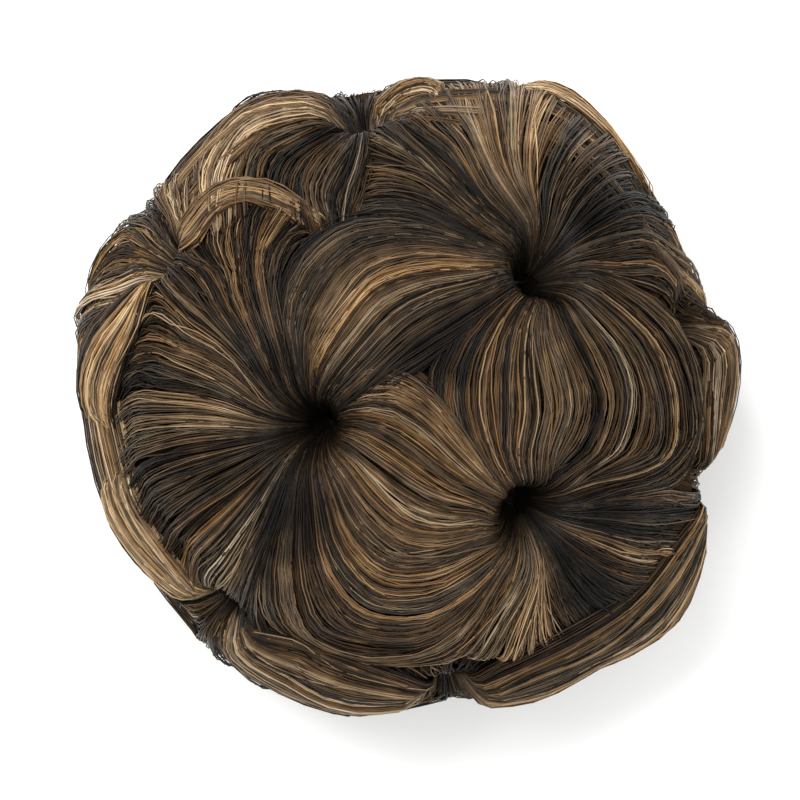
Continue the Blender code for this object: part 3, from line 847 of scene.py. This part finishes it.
def makeSwag(swag, random):
    count = hair["swagStrands"]
    share, lock, locks = lockShares(count, random)
    start, end = holes[swag["start"]]["way"], holes[swag["end"]]["way"]
    chord = math.acos(float(start @ end))
    swing = np.interp(share, (0, 1), swag["swing"])
    pull = chord / 3 / np.cos(np.radians(swing) / 2) ** 2
    leave = turned(towards(start, end)[None] + 0 * share[:, None], start, swing)
    arrive = turned(towards(end, start)[None] + 0 * share[:, None], end, -swing)
    inset = random.uniform(*hair["inset"], count)
    shares = stationShares(hair["swagStations"], count, random)
    ways = bentWays(stepped(start, leave, inset), stepped(start, leave, inset + pull),
                    stepped(end, arrive, inset + pull), stepped(end, arrive, inset), shares)
    ways = strayed(ways, shares, random)
    points = laidOn(ways, 0.0, (0, 0), shares, lock, locks, random)
    return points, *strandTones(swag["tones"], share, lock, locks, random), 0 * shares


def edgeAngle(axis, ahead, own):
    # how far from a hole its curl reaches on each bearing, in radians
    angles = np.linspace(0.12, 1.5, 139)
    ways = stepped(axis, ahead[:, None], angles[None])
    stop = (ownerAt(ways) != own) | (ways[..., 2] < hair["fanFloor"])
    stop[:, angles < hair["fanLeast"]] = False
    return angles[np.where(stop.any(1), stop.argmax(1), len(angles) - 1)]


def makeFan(name, fan, random):
    count = fan["count"]
    share, lock, locks = lockShares(count, random)
    axis = holes[name]["way"]
    down = unitWays(axis * axis[2] - np.array((0.0, 0.0, 1.0)))[None] + 0 * share[:, None]
    leave = turned(down, axis, np.interp(share, (0, 1), fan["spread"]))
    far = edgeAngle(axis, leave, list(holes).index(name)) + random.normal(0, 0.015, count)
    inset = random.uniform(*hair["inset"], count) + fan["from"] * random.uniform(0.6, 1.4, count) * far
    shares = stationShares(fan["stations"], count, random)
    ways = stepped(axis, leave[:, None], inset[:, None] + (far - inset)[:, None] * shares)
    ways = strayed(ways, shares, random)
    tuck = [depth / 1000 for depth in fan["tuck"]]
    points = laidOn(ways, hair["fanLift"], tuck, shares, lock, locks, random)
    return points, *strandTones(fan["tones"], share, lock, locks, random), tipShade(shares, tuck)


def patchShadeAndTone(points):
    # change of tone at points, as the camera has them, painted shade where it is darker
    spread = (camera["height"] - camera["level"]) / (camera["height"] - points[..., 2])
    x = (points[..., 0] - camera["centre"][0]) * spread * 1000
    y = (points[..., 1] - camera["centre"][1]) * spread * 1000
    return sum(change * np.exp(-((x - at) ** 2 + (y - up) ** 2) / wide ** 2)
               for at, up, wide, change in shadeAndTonePatches)


def rootShade(points):
    # painted shade: 1 in the shade of a hole, 0 out of it
    ways = unitWays(points - middle)
    shade = np.zeros(points.shape[:-1])
    for name in holes:
        wide = holeValue(name, "shade")
        full = holeShape["fullShade"] * wide
        near = 1 - (offAxis(ways, name) - full) / (wide - full)
        shade = np.maximum(shade, np.clip(near, 0, 1) ** 1.3)
    return shade


# Geometry nodes that sweep a round section along every line of a mesh

def newSweepTree():
    tree = bpy.data.node_groups.new("sweepLines", "GeometryNodeTree")
    sockets = {"Lines": "Geometry", "Sides": "Int", "Radius": "Float", "Material": "Material"}
    for name, kind in sockets.items():
        tree.interface.new_socket(name=name, in_out="INPUT", socket_type="NodeSocket" + kind)
    tree.interface.new_socket(name="Tubes", in_out="OUTPUT", socket_type="NodeSocketGeometry")
    make = NodeMaker(tree)
    given = make.add("NodeGroupInput")
    curve = make.add("GeometryNodeMeshToCurve", None, {"Mesh": given.outputs["Lines"]})
    width = make.wire("GeometryNodeInputNamedAttribute", {"data_type": "FLOAT"}, {"Name": "width"})
    profile = make.add("GeometryNodeCurvePrimitiveCircle", None, {
        "Resolution": given.outputs["Sides"], "Radius": 1.0})
    tube = make.add("GeometryNodeCurveToMesh", None, {
        "Curve": curve.outputs[0], "Profile Curve": profile.outputs[0],
        "Scale": width * Wire(make, given.outputs["Radius"]), "Fill Caps": True})
    real = make.add("GeometryNodeRealizeInstances", None, {"Geometry": tube.outputs[0]})
    dressed = make.add("GeometryNodeSetMaterial", None, {
        "Geometry": real.outputs[0], "Material": given.outputs["Material"]})
    tree.links.new(dressed.outputs[0], make.add("NodeGroupOutput").inputs[0])
    return tree


def lineMesh(name, bundles):
    # one mesh of lines from bundles: points by line and station, their values, and whether the lines close
    corners, edges, values = [], [], {}
    first = 0
    for points, layers, closed in bundles:
        count, stations = points.shape[:2]
        place = first + np.arange(count * stations).reshape(count, stations)
        edges.append(np.stack([place[:, :-1].ravel(), place[:, 1:].ravel()], 1))
        if closed:
            edges.append(np.stack([place[:, -1], place[:, 0]], 1))
        corners.append(points.reshape(-1, 3))
        for key, layer in layers.items():
            values.setdefault(key, []).append(np.broadcast_to(layer, (count, stations)).ravel())
        first += count * stations
    mesh = bpy.data.meshes.new(name)
    corners, edges = np.concatenate(corners), np.concatenate(edges)
    mesh.vertices.add(len(corners))
    mesh.vertices.foreach_set("co", corners.astype(np.float32).ravel())
    mesh.edges.add(len(edges))
    mesh.edges.foreach_set("vertices", edges.astype(np.int32).ravel())
    for key, layer in values.items():
        given = mesh.attributes.new(key, "FLOAT", "POINT")
        given.data.foreach_set("value", np.concatenate(layer).astype(np.float32))
    return mesh


def sweepLines(name, bundles, sides, radius, material):
    # the plain mesh of tubes along the lines
    bearer = newPiece(name, lineMesh(name, bundles))
    modifier = bearer.modifiers.new("sweep", "NODES")
    modifier.node_group = sweepTree
    given = {"Sides": sides, "Radius": radius, "Material": material}
    for item in sweepTree.interface.items_tree:
        if item.in_out == "INPUT" and item.name in given:
            modifier[item.identifier] = given[item.name]
    bpy.context.view_layer.update()
    made = bpy.data.meshes.new_from_object(bearer.evaluated_get(bpy.context.evaluated_depsgraph_get()))
    made.name = name
    bpy.data.objects.remove(bearer)
    return made


def faceCorners(mesh):
    # each face corner's vertex, its face and its place in the face, and the faces' sizes
    vertex = np.zeros(len(mesh.loops), int)
    mesh.loops.foreach_get("vertex_index", vertex)
    sizes = np.zeros(len(mesh.polygons), int)
    mesh.polygons.foreach_get("loop_total", sizes)
    face = np.repeat(np.arange(len(sizes)), sizes)
    return vertex, face, np.arange(len(face)) - (np.cumsum(sizes) - sizes)[face], sizes


# On a curl's bake map the strands lie below the first height, and the body under them above the second
bakeShare = {"strands": 0.90, "bed": 0.91}


def setBakeMap(mesh, across, up):
    places = np.stack([across, up], 1).astype(np.float32)
    mesh.uv_layers.new(name="OFBake").data.foreach_set("uv", places.ravel())


def mapFaces(mesh, low=0.0):
    # a place of its own on the map for every face, from low upward
    _, face, corner, sizes = faceCorners(mesh)
    columns = math.ceil(math.sqrt(len(sizes) / (1 - low)))
    rows = math.ceil(len(sizes) / columns)
    angle = 2 * np.pi * corner / sizes[face] + np.pi / 4
    setBakeMap(mesh, (face % columns + 0.5 + 0.42 * np.cos(angle)) / columns,
               low + (1 - low) * (face // columns + 0.5 + 0.42 * np.sin(angle)) / rows)


def mapStrands(mesh, bundles, high):
    # a strip of the map for every strand, up to high: its sides across, and its two ends beyond them
    stations = np.concatenate([np.full(points.shape[0], points.shape[1]) for points, _, _ in bundles])
    firstRing = np.cumsum(stations) - stations
    vertex, face, _, sizes = faceCorners(mesh)
    ring, side = vertex // 3, vertex % 3
    strand = np.searchsorted(firstRing, ring, side="right") - 1
    along = (ring - firstRing[strand]) / (stations[strand] - 1)
    starts = np.cumsum(sizes) - sizes
    closing = (np.minimum.reduceat(side, starts) == 0) & (np.maximum.reduceat(side, starts) == 2)
    across = np.where(closing[face] & (side == 0), 3, side) / 3
    isEnd = (sizes == 3)[face]
    beyond = np.where(along > 0.5, 1, -1) * np.where(side == 1, 0.07, 0.03)
    across, along = np.where(isEnd, side / 2, across), np.where(isEnd, along + beyond, along)
    columns = math.ceil(math.sqrt(len(stations) * 6))
    rows = math.ceil(len(stations) / columns)
    setBakeMap(mesh, (strand % columns + 0.08 + 0.84 * across) / columns,
               high * (strand // columns + 0.08 + 0.84 * along) / rows)


def strandBundles(families, random):
    bundles = []
    for points, tone, warmth, tips in families:
        count, stations = points.shape[:2]
        along = np.linspace(0, 1, stations)
        taper = hair["rootShare"] + (1 - hair["rootShare"]) * np.sin(np.pi * along) ** 0.5
        layers = {
            "width": taper[None] * random.uniform(0.75, 1.1, (count, 1)),
            # tone here also carries the patches' painted shade
            "tone": np.clip(tone[:, None] + patchShadeAndTone(points), 0, 1),
            "warmth": warmth[:, None],
            "shade": np.maximum(rootShade(points), tips),
        }
        bundles.append((points, layers, False))
    return bundles


# The hair's colour: dark brown at 0 and blond at 1, in ashen and in warm locks, with painted shade in the
# holes and at tucked ends
ashColours = (
    (0.0, (0.0055, 0.0048, 0.0040)),
    (0.22, (0.016, 0.0132, 0.0100)),
    (0.42, (0.056, 0.043, 0.0290)),
    (0.60, (0.142, 0.103, 0.063)),
    (0.80, (0.330, 0.245, 0.155)),
    (1.0, (0.620, 0.500, 0.360)),
)
warmColours = (
    (0.0, (0.0055, 0.0036, 0.0024)),
    (0.22, (0.021, 0.0115, 0.0055)),
    (0.42, (0.076, 0.040, 0.0160)),
    (0.60, (0.180, 0.092, 0.033)),
    (0.80, (0.370, 0.215, 0.088)),
    (1.0, (0.600, 0.420, 0.220)),
)
paintedShadeColour = (0.0032, 0.0026, 0.0021, 1.0)


def hairMaterial():
    material, make, shader = newMaterial("hair", {"Roughness": 0.42, "Specular IOR Level": 0.12})
    tone = make.wire("ShaderNodeAttribute", {"attribute_name": "tone"}, output=2)
    shade = make.wire("ShaderNodeAttribute", {"attribute_name": "shade"}, output=2)
    place = make.add("ShaderNodeTexCoord").outputs["Object"]
    drift = make.wire("ShaderNodeTexNoise", None, {"Vector": place, "Scale": 150.0, "Detail": 2.0})
    warmth = make.wire("ShaderNodeAttribute", {"attribute_name": "warmth"}, output=2)
    drifted = tone + (drift - 0.5) * 0.35
    ash, warm = (make.add("ShaderNodeValToRGB", {"stops": stops}, {"Fac": drifted}).outputs["Color"]
                 for stops in (ashColours, warmColours))
    dyed = make.add("ShaderNodeMix", {"data_type": "RGBA"}, {0: warmth, 6: ash, 7: warm})
    # painted shade: the colour is mixed toward near-black by the shade of the holes and of tucked ends
    rooted = make.add("ShaderNodeMix", {"data_type": "RGBA"}, {
        0: shade * 0.97, 6: dyed.outputs[2], 7: paintedShadeColour})
    make.feed(shader.inputs["Base Color"], rooted.outputs[2])
    return material


# Under the strands each curl keeps a body of its imported shape, dark with painted shade

bed = {
    "inset": 0.0014,         # below the strands' surface
    "shrink": 0.0004,        # at least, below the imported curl
    "cover": 0.0015,         # at least, over the cap
    "innerSide": 0.004,      # from the cap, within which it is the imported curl's inner side and stays
    "fine": 0.016,           # from a hole's axis, within which it has smaller faces
    "streaks": 60.0,         # how fine they are round the bun
    "run": 110.0,            # how short they are on their way down
    # painted shade: the bed's colours stand for the dark deep between the strands
    "colours": ((0.36, (0.0050, 0.0038, 0.0030)), (0.66, (0.040, 0.026, 0.0150))),
}


def nearHole(place):
    way = unitWays(np.array(place) - middle)
    return min(offAxis(way, name) for name in holes) < bed["fine"]


def makeBed(node, material):
    shape = bmesh.new()
    shape.from_mesh(nodes[node].data)
    bmesh.ops.remove_doubles(shape, verts=shape.verts, dist=1e-6)
    near = [edge for edge in shape.edges if nearHole((edge.verts[0].co + edge.verts[1].co) / 2)]
    bmesh.ops.subdivide_edges(shape, edges=near, cuts=1, use_grid_fill=True)
    bmesh.ops.triangulate(shape, faces=shape.faces)
    shape.normal_update()
    places = np.array([vertex.co for vertex in shape.verts])
    offset = places - middle
    ways = unitWays(offset)
    far = np.linalg.norm(offset, axis=1)
    most = reachAt(ways) - funnels(ways) - bed["inset"]
    outer = np.minimum(far - bed["shrink"], np.maximum(most, capRadius + bed["cover"]))
    far = np.where(far > capRadius + bed["innerSide"], outer, far)
    places = middle + ways * far[:, None]
    for vertex, place in zip(shape.verts, places):
        vertex.co = place
    mesh = bpy.data.meshes.new(node + "Bed")
    shape.to_mesh(mesh)
    shape.free()
    mesh.polygons.foreach_set("use_smooth", [True] * len(mesh.polygons))
    # the holes' painted shade, for the bed's material
    mesh.attributes.new("shade", "FLOAT", "POINT").data.foreach_set("value", rootShade(places[None])[0])
    mapFaces(mesh, bakeShare["bed"])
    return newPiece(node + "Bed", mesh, [material])


def bedMaterial():
    # painted shade deep between the strands: dark streaks of hair that run down and in under the bun, darker
    # still in the holes' painted shade
    material, make, shader = newMaterial("hairShade", {"Roughness": 1.0, "Specular IOR Level": 0.0})
    place = make.add("ShaderNodeTexCoord").outputs["Object"]
    flat = make.add("ShaderNodeMapping", None, {
        "Vector": place, "Location": (-middle[0], -middle[1], 0.0), "Scale": (1.0, 1.0, 0.0)})
    around = make.add("ShaderNodeVectorMath", {"operation": "NORMALIZE"}, {0: flat.outputs[0]})
    down = make.add("ShaderNodeVectorMath", {"operation": "MULTIPLY"}, {0: place, 1: (bed["run"],) * 3})
    drawn = make.add("ShaderNodeVectorMath", {"operation": "MULTIPLY_ADD"}, {
        0: around.outputs[0], 1: (bed["streaks"],) * 3, 2: down.outputs[0]})
    streaks = make.wire("ShaderNodeTexNoise", None, {"Vector": drawn.outputs[0], "Scale": 1.0, "Detail": 2.0})
    lit = 1 - make.wire("ShaderNodeAttribute", {"attribute_name": "shade"}, output=2)
    colour = make.add("ShaderNodeValToRGB", {"stops": bed["colours"]}, {"Fac": streaks * lit})
    make.feed(shader.inputs["Base Color"], colour.outputs["Color"])
    return material


def triangleCount(piece):
    return sum(len(face.vertices) - 2 for face in piece.data.polygons)


def joined(pieces):
    # one piece of several, under the first one's name
    with bpy.context.temp_override(active_object=pieces[0], selected_editable_objects=pieces):
        bpy.ops.object.join()
    return pieces[0]


sweepTree = newSweepTree()
hairSurface = hairMaterial()
bedSurface = bedMaterial()
total = 0
for number, (holeName, hole) in enumerate(holes.items()):
    random = np.random.default_rng(100 + number)
    families = [makeSheet(sheet, random) for sheet in sheets.values() if sheet["curl"] == holeName]
    families += [makeSwag(swag, random) for swag in swags if swag["start"] == holeName]
    if holeName not in crownHoles:
        around = fans[:2] if holeName in opened else fans
        families += [makeFan(holeName, fan, random) for fan in around]
    bundles = strandBundles(families, random)
    mesh = sweepLines(holeName, bundles, 3, hair["radius"], hairSurface)
    mapStrands(mesh, bundles, bakeShare["strands"])
    strands = newPiece("hair_" + hole["node"], mesh)
    piece = joined([strands, makeBed(hole["node"], bedSurface)])
    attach(piece, "root")
    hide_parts(hole["node"])
    triangles = triangleCount(piece)
    total += triangles
    count = sum(len(points) for points, _, _ in bundles)
    print("hair:", holeName, count, "strands,", triangles, "triangles")
print("hair in all:", total, "triangles")


# Net cap: a knotted net on a thin lining, with rings where the hair is sewn on

net = {
    "lining": 0.0007,
    "inset": 0.0002,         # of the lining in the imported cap
    "liningTop": 0.985,      # share of the way up to the crown
    "liningRows": 22,
    "columns": 72,
    "cord": 0.00026,
    "cords": 24,             # each way round
    "turn": 0.75,            # of a full turn that a cord makes on its way up
    "firstShare": 0.01,      # where the cords start and end, of the way up
    "lastShare": 0.94,
    "stations": 26,          # along a cord
    "seams": (0.10, 0.26, 0.42, 0.58, 0.74),  # shares of the way up
    "seamRadius": 0.0006,
    "thread": 0.00020,
    "stitches": 76,          # in a seam at the skirt
    "stitchWidth": 0.0016,
    "stitchDepth": 1.9,      # seam radii in from the lining
}


def capSection(radius, shares):
    # radius and height on the cap's section, from its rim up to the crown
    skirt = middle[2] - capLow.z
    climb = shares * (skirt + radius * np.pi / 2)
    tilt = np.maximum(climb - skirt, 0) / radius
    return radius * np.cos(tilt), np.minimum(capLow.z + climb, middle[2]) + radius * np.sin(tilt)


def roundPoints(radius, turn, height):
    across = middle[0] + radius * np.cos(turn)
    up = middle[1] + radius * np.sin(turn)
    return np.stack(np.broadcast_arrays(across, up, height), -1)


def revolved(name, sections, closed, material):
    # a smooth skin through rings of points; closed joins the last ring to the first
    rings, columns = sections.shape[:2]
    mesh = bpy.data.meshes.new(name)
    place = np.arange(rings * columns).reshape(rings, columns)
    lower, upper = (place, np.roll(place, -1, 0)) if closed else (place[:-1], place[1:])
    faces = np.stack([lower, np.roll(lower, -1, 1), np.roll(upper, -1, 1), upper], -1)
    faces = faces.reshape(-1, 4).tolist()
    if not closed:
        faces += [place[0, ::-1].tolist(), place[-1].tolist()]
    mesh.from_pydata(sections.reshape(-1, 3).tolist(), [], faces)
    mesh.polygons.foreach_set("use_smooth", [True] * len(mesh.polygons))
    return newPiece(name, mesh, [material])


def makeNet():
    lining, make, shader = newMaterial("netLining", {
        "Base Color": (0.020, 0.015, 0.012, 1.0), "Roughness": 0.85})
    place = make.add("ShaderNodeTexCoord").outputs["Object"]
    weave = make.wire("ShaderNodeTexVoronoi", {"feature": "F1"}, {"Vector": place, "Scale": 1400.0})
    bump = make.add("ShaderNodeBump", None, {"Height": weave, "Strength": 0.5, "Distance": 0.0003})
    make.feed(shader.inputs["Normal"], bump.outputs[0])
    cordLook, _, _ = newMaterial("netCord", {"Base Color": (0.034, 0.025, 0.019, 1.0), "Roughness": 0.6})
    threadLook, _, _ = newMaterial("netThread", {"Base Color": (0.055, 0.041, 0.030, 1.0), "Roughness": 0.5})

    shares = np.linspace(0, net["liningTop"], net["liningRows"])
    turns = np.linspace(0, 2 * np.pi, net["columns"], endpoint=False)
    outer = capRadius - net["inset"]
    inner = outer - net["lining"]
    sections = [*zip(*capSection(outer, shares)), *zip(*capSection(inner, shares[::-1]))]
    walls = np.array([roundPoints(radius, turns, height) for radius, height in sections])
    pieces = [revolved("netLining", walls, True, lining)]

    shares = np.linspace(net["firstShare"], net["lastShare"], net["stations"])
    radius, height = capSection(inner - net["cord"] * 0.6, shares)
    starts = np.arange(net["cords"])[:, None] * 2 * np.pi / net["cords"]
    bundles = []
    for hand in (-1, 1):
        turn = starts + hand * 2 * np.pi * net["turn"] * shares[None]
        bundles.append((roundPoints(radius[None], turn, height[None]), {"width": 1.0}, False))
    pieces.append(newPiece("netCords", sweepLines("netCords", bundles, 3, net["cord"], cordLook)))

    seams, zigzags = [], []
    for share in net["seams"]:
        radius, height = capSection(inner - net["seamRadius"], share)
        seams.append(roundPoints(radius, turns, height))
        count = 2 * int(net["stitches"] * radius / inner)
        turn = np.arange(count) * 2 * np.pi / count
        side = net["stitchWidth"] / 2 / (inner * np.pi / 2 + middle[2] - capLow.z)
        swing = side * np.where(np.arange(count) % 2, 1, -1)
        radii, heights = capSection(inner - net["stitchDepth"] * net["seamRadius"], share + swing)
        zigzags.append((roundPoints(radii, turn, heights)[None], {"width": 1.0}, True))
    seams = [(np.array(seams), {"width": 1.0}, True)]
    pieces.append(newPiece("netSeams", sweepLines("netSeams", seams, 6, net["seamRadius"], lining)))
    pieces.append(newPiece("netStitches", sweepLines("netStitches", zigzags, 3, net["thread"], threadLook)))
    piece = joined(pieces)
    piece.name = "net"
    mapFaces(piece.data)
    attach(piece, "root")
    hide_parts("net_cap")
    print("net:", triangleCount(piece), "triangles")


# Rim band: ruched elastic

band = {
    "ruches": 72,
    "ruche": 0.00032,        # depth of a ruche
    "pucker": 0.0002,        # of the upper edge
    "thick": 0.0024,
    "columns": 288,
    "rows": 14,
}


def roundedBox(corners, sharpAcross, sharpUp):
    # a section between a box and an ellipse, from -1 to 1 each way
    angle = np.linspace(0, 2 * np.pi, corners, endpoint=False)
    across = np.sign(np.cos(angle)) * np.abs(np.cos(angle)) ** sharpAcross
    return across, np.sign(np.sin(angle)) * np.abs(np.sin(angle)) ** sharpUp


def makeBand():
    low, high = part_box("rim_band")
    outer = (high.x - low.x) / 2
    turns = np.linspace(0, 2 * np.pi, band["columns"], endpoint=False)
    across, up = roundedBox(band["rows"], 0.55, 0.45)
    half = band["thick"] / 2
    centre = outer - half - 2 * band["ruche"]
    fold = np.sin(band["ruches"] * turns) + 0.35 * np.sin(band["ruches"] * 1.5 * turns + 1.0)
    flat = 1 - np.abs(up) ** 6
    radius = centre + across[:, None] * half + band["ruche"] * fold[None] * (0.35 + 0.65 * flat[:, None])
    half = (high.z - low.z) / 2 - band["pucker"] * (1 + fold[None]) * (up[:, None] > 0)
    height = (low.z + high.z) / 2 + up[:, None] * half
    points = roundPoints(radius, turns, height)
    look, make, shader = newMaterial("elastic", {"Base Color": (0.016, 0.012, 0.010, 1.0), "Roughness": 0.75})
    place = make.add("ShaderNodeTexCoord").outputs["Object"]
    knit = make.wire("ShaderNodeTexWave", {"bands_direction": "Z"}, {
        "Vector": place, "Scale": 420.0, "Distortion": 0.6})
    bump = make.add("ShaderNodeBump", None, {"Height": knit, "Strength": 0.6, "Distance": 0.0002})
    make.feed(shader.inputs["Normal"], bump.outputs[0])
    piece = revolved("band", points, True, look)
    mapFaces(piece.data)
    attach(piece, "root")
    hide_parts("rim_band")
    print("band:", triangleCount(piece), "triangles")


# Comb: a curved spine and round-tipped teeth

comb = {
    "thickness": 0.0022,
    "spine": 0.0055,         # its height
    "teeth": 9,
    "margin": 0.0012,        # beside the outer teeth
    "tip": 0.55,             # share of a tooth's thickness that is left at its tip
    "toothSides": 10,
    "stations": 41,          # along the spine
    "toothStations": 12,
    "colours": ((0.3, (0.020, 0.012, 0.008)), (0.7, (0.050, 0.030, 0.018))),
}


def makeComb():
    low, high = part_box("side_comb")
    look, make, shader = newMaterial("combPlastic", {"Roughness": 0.34, "Specular IOR Level": 0.45})
    place = make.add("ShaderNodeTexCoord").outputs["Object"]
    cloud = make.wire("ShaderNodeTexNoise", None, {"Vector": place, "Scale": 90.0, "Detail": 3.0})
    tint = make.add("ShaderNodeValToRGB", {"stops": comb["colours"]}, {"Fac": cloud})
    make.feed(shader.inputs["Base Color"], tint.outputs["Color"])
    back = middle[1] - low.y
    half = (high.x - low.x) / 2
    turn = math.asin(half / back)
    centre = back - comb["thickness"] / 2
    share = np.linspace(-1, 1, comb["stations"])[:, None]
    across, up = roundedBox(16, 0.6, 0.5)
    ease = np.clip(1 - np.abs(share) ** 30, 0.3, 1)
    radius = centre + across * comb["thickness"] / 2 * ease
    height = low.z + comb["spine"] / 2 + up * comb["spine"] / 2 * ease
    spine = revolved("comb", roundPoints(radius, turn * share - np.pi / 2, height), False, look)
    along = np.linspace(0, 1, comb["toothStations"])
    rootHeight, tipHeight = low.z + comb["spine"] * 0.6, high.z - 0.0004
    at = -np.pi / 2 + np.linspace(-1, 1, comb["teeth"]) * (turn - comb["margin"] / back)
    heights = rootHeight + (tipHeight - rootHeight) * along ** 0.9
    teeth = roundPoints(centre, at[:, None], heights)
    width = (1 - (1 - comb["tip"]) * along) * np.sqrt(np.clip(1 - along ** 24, 0.05, 1))
    toothMesh = sweepLines("combTeeth", [(teeth, {"width": width[None]}, False)], comb["toothSides"],
                           comb["thickness"] / 2, look)
    piece = joined([spine, newPiece("combTeeth", toothMesh)])
    mapFaces(piece.data)
    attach(piece, "root")
    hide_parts("side_comb")
    print("comb:", triangleCount(piece), "triangles")


makeNet()
makeBand()
makeComb()


# Light, floor and camera

studio = {
    "key": {"place": (-0.35, 0.45, 0.95), "size": 0.7, "power": 13.0},
    "fill": {"place": (0.7, -0.5, 0.7), "size": 0.9, "power": 6.0},
    "world": 0.85,
}


def makeFloor():
    shape = bmesh.new()
    bmesh.ops.create_grid(shape, x_segments=1, y_segments=1, size=3.0)
    mesh = bpy.data.meshes.new("floor")
    shape.to_mesh(mesh)
    shape.free()
    material, _, _ = newMaterial("floor", {"Base Color": (0.95, 0.95, 0.94, 1.0), "Roughness": 0.9})
    newPiece("floor", mesh, [material])


def makeLights():
    for name in ("key", "fill"):
        light = bpy.data.lights.new(name, "AREA")
        light.energy = studio[name]["power"]
        light.size = studio[name]["size"]
        lamp = bpy.data.objects.new(name, light)
        lamp.location = studio[name]["place"]
        lamp.rotation_euler = (Vector((0, 0, 0.04)) - lamp.location).to_track_quat("-Z", "Y").to_euler()
        bpy.context.scene.collection.objects.link(lamp)
    world = bpy.data.worlds.new("studio")
    bpy.context.scene.world = world
    world.use_nodes = True
    world.node_tree.nodes["Background"].inputs["Color"].default_value = (1.0, 1.0, 1.0, 1.0)
    world.node_tree.nodes["Background"].inputs["Strength"].default_value = studio["world"]


def makeCamera():
    lens = bpy.data.cameras.new("camera")
    lens.sensor_width = camera["sensor"]
    lens.lens = camera["sensor"] * (camera["height"] - camera["level"]) / camera["width"]
    holder = bpy.data.objects.new("camera", lens)
    holder.location = (*camera["centre"], camera["height"])
    bpy.context.scene.collection.objects.link(holder)
    bpy.context.scene.camera = holder
    bpy.context.scene.view_settings.view_transform = "Standard"


makeFloor()
makeLights()
makeCamera()
print("light and camera")
